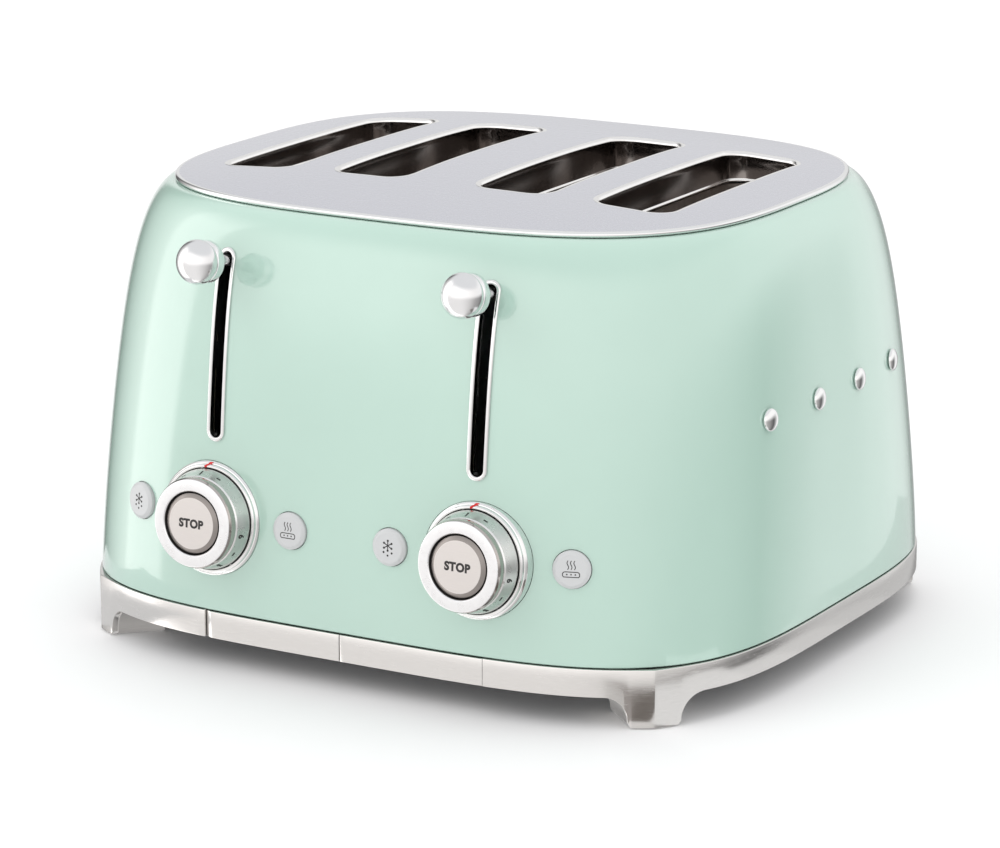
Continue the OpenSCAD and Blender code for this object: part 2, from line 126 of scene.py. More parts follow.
# ------------------------------------------------------------------ mesh helpers
def new_object(name, verts, faces, mats=(), which=None, smooth=35, merge=0.0):
    """verts in mm, body-centred. which gives each face's material."""
    me = bpy.data.meshes.new(name)
    v = np.asarray(verts, float).copy()
    v[:, 1] += YO
    me.from_pydata((v * 0.001).tolist(), [], [tuple(int(i) for i in f) for f in faces])
    for m in mats:
        me.materials.append(m)
    if which is not None:
        me.polygons.foreach_set("material_index", np.asarray(which, np.int32))
    bm = bmesh.new()
    bm.from_mesh(me)
    if merge:
        bmesh.ops.remove_doubles(bm, verts=bm.verts, dist=merge * 0.001)
    bmesh.ops.recalc_face_normals(bm, faces=bm.faces)
    bm.to_mesh(me)
    bm.free()
    me.validate()
    o = bpy.data.objects.new(name, me)
    root_col.objects.link(o)
    if smooth:
        me.shade_smooth()
        me.set_sharp_from_angle(angle=math.radians(smooth))
    return o


def join_parts(parts):
    """[(verts, faces, material number)] in one list."""
    V, F, W = [], [], []
    for v, f, w in parts:
        o = sum(len(q) for q in V)
        V.append(np.asarray(v, float))
        F += [tuple(int(i) + o for i in t) for t in f]
        W += list(w) if hasattr(w, "__len__") else [w] * len(f)
    return np.concatenate(V), F, W


def grid_faces(rows, cols, wrap_cols=True, wrap_rows=False):
    out = []
    for j in range(rows if wrap_rows else rows - 1):
        k = (j + 1) % rows
        for i in range(cols if wrap_cols else cols - 1):
            h = (i + 1) % cols
            out.append((j * cols + i, j * cols + h, k * cols + h, k * cols + i))
    return out


def sweep(P, U, V, prof, closed_path=True, closed_prof=True):
    """Profile points (u, v) carried along points P with directions U and V. Returns verts, faces."""
    P, U, V = (np.asarray(q, float) for q in (P, U, V))
    prof = np.asarray(prof, float)
    if prof.ndim == 2:
        prof = np.repeat(prof[None], len(P), 0)
    n, m = len(P), prof.shape[1]
    verts = (P[:, None] + prof[..., :1] * U[:, None] + prof[..., 1:] * V[:, None]).reshape(-1, 3)
    faces = []
    for i in range(n if closed_path else n - 1):
        k = (i + 1) % n
        for j in range(m if closed_prof else m - 1):
            h = (j + 1) % m
            faces.append((i * m + j, i * m + h, k * m + h, k * m + j))
    if not closed_path and closed_prof:
        faces.append(tuple(range(m)))
        faces.append(tuple((n - 1) * m + j for j in range(m - 1, -1, -1)))
    return verts, faces


def fillet(poly, radii, seg=5, closed=True):
    """Rounds a polygon's corners. radii is one number or one for each corner."""
    P = [Vector(p) for p in poly]
    n = len(P)
    if not hasattr(radii, "__len__"):
        radii = [radii] * n
    out = []
    for i, p in enumerate(P):
        r = radii[i]
        if r <= 0 or (not closed and i in (0, n - 1)):
            out.append((p.x, p.y))
            continue
        a, b = P[i - 1] - p, P[(i + 1) % n] - p
        la, lb = a.length, b.length
        a, b = a.normalized(), b.normalized()
        half = a.angle(b) / 2
        if half > math.pi / 2 - 0.01:
            out.append((p.x, p.y))
            continue
        t = min(r / math.tan(half), 0.49 * la, 0.49 * lb)
        rr = t * math.tan(half)
        c = p + (a + b).normalized() * (rr / math.sin(half))
        s, e = p + a * t - c, p + b * t - c
        for k in range(seg + 1):
            f = k / seg
            w = s.lerp(e, f).normalized() * rr
            # spread by angle rather than by chord
            ang = s.angle(e) if s.length > 0 and e.length > 0 else 0
            if ang > 1e-4:
                w = (s * math.sin((1 - f) * ang) + e * math.sin(f * ang)) / math.sin(ang)
            out.append((c.x + w.x, c.y + w.y))
    return out


def lathe_raw(prof, M, n=96):
    prof = np.asarray(prof, float)
    t = np.arange(n) * 2 * math.pi / n
    x = prof[None, :, 0] * np.cos(t)[:, None]
    y = prof[None, :, 0] * np.sin(t)[:, None]
    z = np.repeat(prof[None, :, 1], n, 0)
    v = np.stack([x, y, z], 2).reshape(-1, 3)
    R, T = np.array(M.to_3x3()), np.array(M.translation)
    v = v @ R.T + T
    m = len(prof)
    faces = []
    for i in range(n):
        k = (i + 1) % n
        for j in range(m):
            h = (j + 1) % m
            if prof[j, 0] < 1e-6 and prof[h, 0] < 1e-6:
                continue
            if prof[j, 0] < 1e-6:
                faces.append((i * m + j, i * m + h, k * m + h))
            elif prof[h, 0] < 1e-6:
                faces.append((i * m + j, i * m + h, k * m + j))
            else:
                faces.append((i * m + j, i * m + h, k * m + h, k * m + j))
    return v, faces


def lathe(name, prof, M, mats, n=96, which=None, smooth=35):
    """Closed profile (r, z) in mm turned round local Z. which(r, z) gives a material number."""
    v, f = lathe_raw(prof, M, n)
    w = None
    if which is not None:
        m = len(prof)
        w = []
        for face in f:
            js = [i % m for i in face]
            w.append(which(sum(prof[j][0] for j in js) / len(js), sum(prof[j][1] for j in js) / len(js)))
    return new_object(name, v, f, mats, w, smooth, merge=1e-4)


def tube(path, r, sides=8, closed=False):
    P = np.asarray(path, float)
    n = len(P)
    if closed:
        T = np.roll(P, -1, 0) - np.roll(P, 1, 0)
    else:
        T = np.gradient(P, axis=0)
    T /= np.linalg.norm(T, axis=1)[:, None]
    up = np.array([0, 0, 1.0]) if abs(T[0, 2]) < 0.9 else np.array([1.0, 0, 0])
    U = np.zeros_like(P)
    u = np.cross(T[0], up)
    u /= np.linalg.norm(u)
    for i in range(n):
        u = u - T[i] * np.dot(u, T[i])
        u /= np.linalg.norm(u)
        U[i] = u
    V = np.cross(T, U)
    a = np.arange(sides) * 2 * math.pi / sides
    prof = np.stack([r * np.cos(a), r * np.sin(a)], 1)
    return sweep(P, U, V, prof, closed_path=closed)


def plate2d(shapes, M, z0, z1, surf=None):
    """Flat shapes [(outer loop)] given as convex-ish polygons or ribbons in local mm, made z0..z1 thick.
    surf(x, y) -> local point on a curved face and its outward direction."""
    parts = []
    R, T = np.array(M.to_3x3()), np.array(M.translation)
    for loop in shapes:
        loop = np.asarray(loop, float)
        n = len(loop)
        if surf is None:
            lo = np.column_stack([loop, np.full(n, z0)])
            hi = np.column_stack([loop, np.full(n, z1)])
        else:
            q = [surf(x, y) for x, y in loop]
            lo = np.array([np.array(p) + np.array(d) * z0 for p, d in q])
            hi = np.array([np.array(p) + np.array(d) * z1 for p, d in q])
        v = np.concatenate([lo, hi]) @ R.T + T
        f = [(i, (i + 1) % n, n + (i + 1) % n, n + i) for i in range(n)]
        f += [tuple(range(n - 1, -1, -1)), tuple(range(n, 2 * n))]
        parts.append((v, f, 0))
    return parts


def ribbon(pts, w, round_ends=5):
    """Outline of a stroke of width w along pts, as quads' strips joined into one loop."""
    P = np.asarray(pts, float)
    T = np.gradient(P, axis=0)
    T /= np.linalg.norm(T, axis=1)[:, None]
    N = np.stack([-T[:, 1], T[:, 0]], 1)
    left, right = P + N * w / 2, P - N * w / 2
    loop = list(map(tuple, left))
    a0 = math.atan2(N[-1, 1], N[-1, 0])
    for k in range(1, round_ends):
        a = a0 - math.pi * k / round_ends
        loop.append((P[-1, 0] + w / 2 * math.cos(a), P[-1, 1] + w / 2 * math.sin(a)))
    loop += list(map(tuple, right[::-1]))
    a0 = math.atan2(-N[0, 1], -N[0, 0])
    for k in range(1, round_ends):
        a = a0 - math.pi * k / round_ends
        loop.append((P[0, 0] + w / 2 * math.cos(a), P[0, 1] + w / 2 * math.sin(a)))
    return loop


def disc(x, y, r, n=18):
    return [(x + r * math.cos(2 * math.pi * k / n), y + r * math.sin(2 * math.pi * k / n)) for k in range(n)]


def glyphs(text, height, bold=0.0, spacing=1.0):
    """Mesh of plain letters, centred, in mm: vertices (n, 2) and faces."""
    cu = bpy.data.curves.new("glyphs", "FONT")
    cu.body = text
    cu.size = 10
    cu.align_x = "CENTER"
    cu.space_character = spacing
    cu.offset = bold
    cu.resolution_u = 6
    o = bpy.data.objects.new("glyphs", cu)
    root_col.objects.link(o)
    dg = bpy.context.evaluated_depsgraph_get()
    me = bpy.data.meshes.new_from_object(o.evaluated_get(dg))
    bm = bmesh.new()
    bm.from_mesh(me)
    bmesh.ops.remove_doubles(bm, verts=bm.verts, dist=1e-5)
    bmesh.ops.triangulate(bm, faces=bm.faces)
    v = np.array([w.co[:2] for w in bm.verts])
    bm.verts.index_update()
    f = [tuple(w.index for w in q.verts) for q in bm.faces]
    edges = {}
    for t in f:
        for a, b in ((t[0], t[1]), (t[1], t[2]), (t[2], t[0])):
            edges[(a, b)] = edges.get((a, b), 0) + 1
    rim = [(a, b) for (a, b) in edges if (b, a) not in edges]
    bm.free()
    bpy.data.meshes.remove(me)
    bpy.data.objects.remove(o)
    bpy.data.curves.remove(cu)
    k = height / (v[:, 1].max() - v[:, 1].min())
    mid = (v.max(0) + v.min(0)) / 2
    return (v - mid) * k, f, rim


def glyph_part(g, place, z0, z1, w=0):
    """place(x, y) -> (point, outward direction)."""
    v, f, rim = g
    q = [place(x, y) for x, y in v]
    lo = np.array([np.array(p) + np.array(d) * z0 for p, d in q])
    hi = np.array([np.array(p) + np.array(d) * z1 for p, d in q])
    n = len(v)
    faces = [tuple(n + i for i in t) for t in f] + [tuple(reversed(t)) for t in f]
    faces += [(a, b, n + b, n + a) for a, b in rim]
    return np.concatenate([lo, hi]), faces, w


def evaluated(o):
    bpy.context.view_layer.update()
    dg = bpy.context.evaluated_depsgraph_get()
    me = bpy.data.meshes.new_from_object(o.evaluated_get(dg))
    old = o.data
    o.modifiers.clear()
    o.data = me
    bpy.data.meshes.remove(old)
    return o


def cut(o, cutters):
    """Takes the joined cutters out of o and leaves a plain mesh."""
    parts = [(v, f, 0) for v, f in cutters]
    v, f, _ = join_parts(parts)
    c = new_object("cutter", v, f, smooth=0)
    m = o.modifiers.new("holes", "BOOLEAN")
    m.operation = "DIFFERENCE"
    m.object = c
    m.solver = "EXACT"
    m.use_self = False
    evaluated(o)
    old = c.data
    bpy.data.objects.remove(c)
    bpy.data.meshes.remove(old)
    return o


def keep_mesh(o, mats):
    o.data.materials.clear()
    for m in mats:
        o.data.materials.append(m)


def put(o, body, *nodes, slot=None):
    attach(o, body)
    if nodes:
        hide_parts(*nodes)
    return o


# ------------------------------------------------------------------ materials
def lin(*c):
    return tuple(((q / 255) / 12.92 if q / 255 <= 0.04045 else ((q / 255 + 0.055) / 1.055) ** 2.4) for q in c)


class Mat:
    def __init__(self, name, color, rough, metal=0.0, **kw):
        self.m = bpy.data.materials.new(name)
        self.m.use_nodes = True
        self.t = self.m.node_tree
        self.b = self.t.nodes["Principled BSDF"]
        self.b.inputs["Base Color"].default_value = (*color, 1)
        self.b.inputs["Roughness"].default_value = rough
        self.b.inputs["Metallic"].default_value = metal
        for k, v in kw.items():
            self.b.inputs[k].default_value = v
        self.color = color
        self.rough = rough
        self.m.diffuse_color = (*color, 1)
        self.bump_in = None

    def node(self, kind, **kw):
        n = self.t.nodes.new(kind)
        for k, v in kw.items():
            setattr(n, k, v)
        return n

    def link(self, a, b):
        self.t.links.new(a, b)

    def coords(self, scale=(1, 1, 1)):
        tc = self.node("ShaderNodeTexCoord")
        mp = self.node("ShaderNodeMapping")
        mp.inputs["Scale"].default_value = scale
        self.link(tc.outputs["Object"], mp.inputs["Vector"])
        return mp.outputs["Vector"]

    def noise(self, scale, detail=4, stretch=(1, 1, 1), rough=0.6):
        n = self.node("ShaderNodeTexNoise")
        n.inputs["Scale"].default_value = scale
        n.inputs["Detail"].default_value = detail
        n.inputs["Roughness"].default_value = rough
        self.link(self.coords(stretch), n.inputs["Vector"])
        return n.outputs["Fac"]

    def ramp(self, fac, stops):
        r = self.node("ShaderNodeValToRGB")
        e = r.color_ramp.elements
        while len(e) > 1:
            e.remove(e[-1])
        e[0].position, e[0].color = stops[0][0], (*stops[0][1], 1)
        for p, c in stops[1:]:
            q = e.new(p)
            q.color = (*c, 1)
        self.link(fac, r.inputs["Fac"])
        return r.outputs["Color"]

    def vary(self, fac, amount, lo=0.35, hi=0.65):
        """Colour a little lighter and darker over the surface."""
        c = self.color
        self.link(self.ramp(fac, [(lo, tuple(q * (1 - amount) for q in c)), (hi, tuple(min(1, q * (1 + amount)) for q in c))]), self.b.inputs["Base Color"])
        return self

    def vary_rough(self, fac, lo, hi):
        m = self.node("ShaderNodeMapRange")
        m.inputs["From Min"].default_value = 0.3
        m.inputs["From Max"].default_value = 0.7
        m.inputs["To Min"].default_value = lo
        m.inputs["To Max"].default_value = hi
        self.link(fac, m.inputs["Value"])
        self.link(m.outputs["Result"], self.b.inputs["Roughness"])
        return self

    def bump(self, fac, dist, strength=1.0, coat=False):
        n = self.node("ShaderNodeBump")
        n.inputs["Strength"].default_value = strength
        n.inputs["Distance"].default_value = dist
        self.link(fac, n.inputs["Height"])
        if self.bump_in is not None:
            self.link(self.bump_in, n.inputs["Normal"])
        self.bump_in = n.outputs["Normal"]
        self.link(self.bump_in, self.b.inputs["Normal"])
        if coat:
            self.link(self.bump_in, self.b.inputs["Coat Normal"])
        return self


def mat_paint():
    m = Mat("glossy_paint", (0.435, 0.615, 0.53), 0.18)
    m.b.inputs["Coat Weight"].default_value = 1.0
    m.b.inputs["Coat Roughness"].default_value = 0.035
    m.b.inputs["Coat IOR"].default_value = 1.85
    m.b.inputs["IOR"].default_value = 1.5
    m.vary(m.noise(9, 3), 0.018)
    m.vary_rough(m.noise(60, 3), 0.14, 0.20)
    m.bump(m.noise(420, 2), 0.00003, 0.22, coat=True)
    return m.m


def mat_brushed(name, color, rough, scale, stretch, bump=0.00002, var=0.05, aniso=0.0, spread=0.06):
    m = Mat(name, color, rough, 1.0)
    f = m.noise(scale, 5, stretch, 0.7)
    m.vary(f, var)
    m.vary_rough(m.noise(scale * 0.5, 4, stretch, 0.6), rough - spread, rough + spread)
    if bump:
        m.bump(f, bump, 0.35)
    return m.m


def mat_polished(name, color, rough, wear=0.03):
    m = Mat(name, color, rough, 1.0)
    m.vary(m.noise(35, 4), 0.02)
    m.vary_rough(m.noise(180, 5), rough, rough + wear)
    m.bump(m.noise(900, 2), 0.000005, 0.15)
    return m.m


def mat_plastic(name, color, rough, grain=900, bump=0.00002, var=0.03):
    m = Mat(name, color, rough)
    m.vary(m.noise(18, 3), var)
    m.vary_rough(m.noise(120, 3), rough - 0.05, rough + 0.05)
    m.bump(m.noise(grain, 2), bump, 0.3)
    return m.m


PAINT = mat_paint()
TOP = mat_brushed("brushed_top", (0.70, 0.705, 0.76), 0.27, 260, (0.25, 9, 9), 0.000002, 0.006, spread=0.012)
LIP = mat_polished("polished_lip", (0.86, 0.85, 0.84), 0.10)
# painted shade: the slot lip's inner wall is the same polished steel, coloured dark brown-grey for the shade down in
# the slot
LIP_WALL_SHADE = mat_polished("lip_wall_painted_shade", (0.20, 0.18, 0.17), 0.12)
RIM = mat_polished("polished_rim", (0.86, 0.86, 0.86), 0.05)
RING = mat_brushed("satin_ring", (0.72, 0.705, 0.69), 0.22, 240, (1, 1, 14), 0.000012, 0.03)
FOOT = mat_brushed("foot_core", (0.50, 0.49, 0.48), 0.4, 200, (1, 1, 8), 0.00002, 0.05)
CHROME = mat_polished("chrome", (0.84, 0.84, 0.84), 0.045)
BALL = mat_polished("ball_chrome", (0.80, 0.80, 0.81), 0.15, 0.04)
BALL_DISC = mat_brushed("ball_disc", (0.88, 0.88, 0.89), 0.22, 300, (1, 1, 1), 0.000005, 0.03)
KNOB_FACE = mat_brushed("knob_face", (0.86, 0.86, 0.87), 0.30, 500, (1, 1, 1), 0.00001, 0.02)
KNOB_SKIRT = mat_brushed("knob_skirt", (0.66, 0.68, 0.66), 0.30, 420, (1, 1, 1), 0.00001, 0.03)
# painted shade: near-black for the knob's inner well and the stop disc's sides, where the gap between them falls dark
GROOVE_SHADE = mat_plastic("groove_painted_shade", (0.05, 0.047, 0.045), 0.35)
STOPM = mat_brushed("stop_face", (0.69, 0.655, 0.635), 0.42, 600, (0.3, 8, 8), 0.00001, 0.02)
# painted reflection: the stop disc's chamfer is the same metal as its face, coloured dark brown-grey for the darker
# reflection it shows
CHAMFER_SHADE = mat_brushed("stop_chamfer_painted_shade", (0.30, 0.275, 0.26), 0.35, 600, (1, 1, 1), 0.000005, 0.02)
KNOB_SIDE = mat_polished("knob_side", (0.50, 0.47, 0.45), 0.08)
BUTTON = mat_plastic("button_satin", (0.58, 0.585, 0.59), 0.33, 1200, 0.00001, 0.015)
INK = mat_plastic("ink", (0.018, 0.016, 0.016), 0.45, 1500, 0.000005)
RED = mat_plastic("red_mark", (0.62, 0.012, 0.012), 0.4, 1500, 0.000005)
LINER = mat_brushed("heat_tinted_steel", (0.52, 0.465, 0.435), 0.42, 120, (1, 1, 0.3), 0.00003, 0.10)
STEEL = mat_brushed("galvanised", (0.50, 0.50, 0.51), 0.38, 60, (1, 1, 1), 0.00003, 0.12)
ZINC = mat_brushed("bright_drawn", (0.62, 0.62, 0.63), 0.22, 300, (1, 1, 0.1), 0.00001, 0.05)
SPRING = mat_brushed("spring_steel", (0.45, 0.45, 0.47), 0.22, 300, (1, 1, 1), 0.00001, 0.06)
IRON = mat_brushed("machined_iron", (0.24, 0.24, 0.25), 0.45, 200, (1, 1, 1), 0.00003, 0.1)
COPPER = mat_brushed("enamelled_wire", (0.60, 0.27, 0.12), 0.3, 900, (0.2, 0.2, 14), 0.0001, 0.15)
NICHROME = mat_brushed("heating_wire", (0.28, 0.26, 0.25), 0.4, 500, (1, 1, 1), 0.00001, 0.1)
BLACK = mat_plastic("black_plastic", (0.025, 0.025, 0.028), 0.45, 700, 0.00005)
RUBBER = mat_plastic("pad_rubber", (0.03, 0.03, 0.03), 0.75, 500, 0.00008)
BASEP = mat_plastic("base_plastic", (0.04, 0.04, 0.043), 0.5, 600, 0.00006)
SCREW = mat_polished("screw_steel", (0.55, 0.55, 0.56), 0.2)


def mat_mica():
    m = Mat("mica", (0.56, 0.50, 0.37), 0.35)
    m.vary(m.noise(40, 6, (1, 1, 2.5), 0.75), 0.2)
    m.vary_rough(m.noise(90, 5), 0.25, 0.5)
    m.bump(m.noise(140, 5), 0.00015, 0.4)
    return m.m


def mat_board():
    m = Mat("board_green", (0.02, 0.16, 0.06), 0.3)
    m.vary(m.noise(60, 3), 0.3, 0.45, 0.55)
    m.vary_rough(m.noise(80, 2), 0.25, 0.4)
    m.bump(m.noise(200, 1), 0.00005, 0.3)
    return m.m


MICA = mat_mica()
BOARD = mat_board()

# ------------------------------------------------------------------ frames on the surface
def M_dial(s):
    x, z = s * 66.8, 68.4
    return Matrix.Translation((x, front_y(x, z), z)) @ Matrix.Rotation(math.radians(90 - 4.4), 4, "X")


def M_lever(s):
    return Matrix.Translation((s * 65.6, -157.4, 184.3)) @ Matrix.Rotation(math.radians(81), 4, "X")


def M_dir(p, d):
    """Local +Z along d, local +Y as near up as it can be."""
    z = Vector(d).normalized()
    x = Vector((0, 0, 1)).cross(z).normalized()
    y = z.cross(x)
    M = Matrix((x, y, z)).transposed().to_4x4()
    M.translation = p
    return M


def M_front(x, z):
    p = np.array([[x, front_y(x, z), z]])
    h = 1.0
    fx = (front_y(x + h, z) - front_y(x - h, z)) / (2 * h)
    fz = (front_y(x, z + h) - front_y(x, z - h)) / (2 * h)
    return M_dir(tuple(p[0]), (fx, -1, fz))


def M_side(y, z):
    h = 1.0
    fy = (side_x(y + h, z) - side_x(y - h, z)) / (2 * h)
    fz = (side_x(y, z + h) - side_x(y, z - h)) / (2 * h)
    return M_dir((side_x(y, z), y, z), (1, -fy, -fz))


SLOT_Z = (184.3 - 70 - 7.1, 184.3 - 2.75)
LEVER_X = 65.6
DIAL_X = 66.8
BUTTONS = {"defrost_left": -DIAL_X - 41.6, "bagel_left": -DIAL_X + 41.6, "defrost_right": DIAL_X - 41.6, "bagel_right": DIAL_X + 41.6}
SLOT_XS = (-94.5, -36.2, 36.2, 94.5)
STUD_YS = (-61.7, -18.8, 22, 61.7)


def drum(M, r, z0, z1, n=96):
    return lathe_raw([(0, z0), (r, z0), (r, z1), (0, z1)], M, n)


def drum_solid(M, r, z0, z1, n=96):
    t = np.arange(n) * 2 * math.pi / n
    c = np.stack([r * np.cos(t), r * np.sin(t)], 1)
    v = np.concatenate([np.column_stack([c, np.full(n, z0)]), np.column_stack([c, np.full(n, z1)])])
    v = v @ np.array(M.to_3x3()).T + np.array(M.translation)
    f = [(i, (i + 1) % n, n + (i + 1) % n, n + i) for i in range(n)]
    f += [tuple(range(n - 1, -1, -1)), tuple(range(n, 2 * n))]
    return v, f


def stadium_xz(s, w, arc=20, run=14):
    """Outline in (x, z) round a lever slot."""
    out = []
    for k in range(arc + 1):
        t = math.pi * k / arc
        out.append((w * math.cos(t), SLOT_Z[1] + w * math.sin(t)))
    for k in range(1, run):
        out.append((-w, SLOT_Z[1] + (SLOT_Z[0] - SLOT_Z[1]) * k / run))
    for k in range(arc + 1):
        t = math.pi + math.pi * k / arc
        out.append((w * math.cos(t), SLOT_Z[0] + w * math.sin(t)))
    for k in range(1, run):
        out.append((w, SLOT_Z[0] + (SLOT_Z[1] - SLOT_Z[0]) * k / run))
    return [(s * LEVER_X + x, z) for x, z in out]


# ------------------------------------------------------------------ the painted shell
def make_shell():
    N, M = 352, 72
    t = np.linspace(0, 1, M)
    us = 1 - (1 - t) ** 2.1
    zs = Z0 + us * (Z1 - Z0)
    outer, inner = [], []
    for z in zs:
        a, b, n = (float(q) for q in dims(z))
        p, _, _ = outline(a, b, n, N)
        outer.append(np.column_stack([p, np.full(N, z)]))
    # the lower edge is turned in a little, and the upper edge closes flat across the wall under the rim
    a, b, n = (float(q) for q in dims(Z0))
    low = np.column_stack([outline(a - 0.45, b - 0.45, n, N)[0], np.full(N, Z0 - 0.0)])
    outer[0][:, 2] += 0.45
    rows = [low] + outer
    for z in zs[::-1]:
        a, b, n = (float(q) for q in dims(z))
        inner.append(np.column_stack([outline(a - WALL, b - WALL, n, N)[0], np.full(N, z - (0.0 if z > Z0 else 0.0))]))
    rows += inner
    v = np.concatenate(rows)
    f = grid_faces(len(rows), N, True, True)
    o = new_object("shell_skin", v, f, [PAINT], smooth=0)
    cuts = []
    for s in (-1, 1):
        st = stadium_xz(s, 4.1)
        n = len(st)
        v1 = [(x, -170, z) for x, z in st] + [(x, -112, z) for x, z in st]
        f1 = [(i, (i + 1) % n, n + (i + 1) % n, n + i) for i in range(n)] + [tuple(range(n - 1, -1, -1)), tuple(range(n, 2 * n))]
        cuts.append((np.array(v1, float), f1))
        cuts.append(drum_solid(M_dial(s), 25.55, -14, 14))
    for x in BUTTONS.values():
        cuts.append(drum_solid(M_front(x, 68.7), 8.5, -8, 8, 64))
    back = Matrix.Translation((0, 150, 44)) @ Matrix.Rotation(math.radians(-90), 4, "X")
    cuts.append(drum_solid(back, 8.1, -20, 20, 48))
    cut(o, cuts)
    keep_mesh(o, [PAINT])
    me = o.data
    me.shade_smooth()
    me.set_sharp_from_angle(angle=math.radians(35))
    # the wall's own smooth directions on its outer face
    co = np.zeros(len(me.vertices) * 3)
    me.vertices.foreach_get("co", co)
    co = co.reshape(-1, 3) * 1000
    co[:, 1] -= YO
    nv = shell_normal(co)
    li = np.zeros(len(me.loops), np.int32)
    me.loops.foreach_get("vertex_index", li)
    lp = np.zeros(len(me.polygons), np.int32)
    me.polygons.foreach_get("loop_total", lp)
    pn = np.zeros(len(me.polygons) * 3)
    me.polygons.foreach_get("normal", pn)
    pn = np.repeat(pn.reshape(-1, 3), lp, 0)
    dot = (pn * nv[li]).sum(1)
    on = (np.abs(field(co[:, 0], co[:, 1], co[:, 2]) - 1) < 0.004)[li] & (dot > 0.8)
    out = np.where(on[:, None], nv[li], 0.0)
    me.normals_split_custom_set(out.tolist())
    put(o, "root", "body_shell", slot="paint")
    return o


def dome_z(q):
    return 204.9 + 6.8 * (1 - np.abs(q) ** 2.3)


def share(x, y):
    return ((np.abs(x) / A1) ** N1 + (np.abs(y) / B1) ** N1) ** (1 / N1)


def dome_normal(x, y):
    h = 0.5
    gx = (dome_z(share(x + h, y)) - dome_z(share(x - h, y))) / (2 * h)
    gy = (dome_z(share(x, y + h)) - dome_z(share(x, y - h))) / (2 * h)
    g = np.stack([-gx, -gy, np.ones_like(gx)], -1)
    return g / np.linalg.norm(g, axis=-1)[..., None]


def round_rect(w, l, r, arc=14, run=(10, 34)):
    out, nrm = [], []
    cs = [(1, 1, 0), (-1, 1, 90), (-1, -1, 180), (1, -1, 270)]
    for k, (i, j, a0) in enumerate(cs):
        for q in range(arc + 1):
            t = math.radians(a0 + 90 * q / arc)
            out.append((i * (w / 2 - r) + r * math.cos(t), j * (l / 2 - r) + r * math.sin(t)))
            nrm.append((math.cos(t), math.sin(t)))
        n = run[0] if k % 2 == 0 else run[1]
        i2, j2, _ = cs[(k + 1) % 4]
        t = math.radians(a0 + 90)
        p0 = np.array(out[-1])
        p1 = np.array((i2 * (w / 2 - r) + r * math.cos(t), j2 * (l / 2 - r) + r * math.sin(t)))
        for q in range(1, n):
            out.append(tuple(p0 + (p1 - p0) * q / n))
            nrm.append((math.cos(t), math.sin(t)))
    return np.array(out), np.array(nrm)


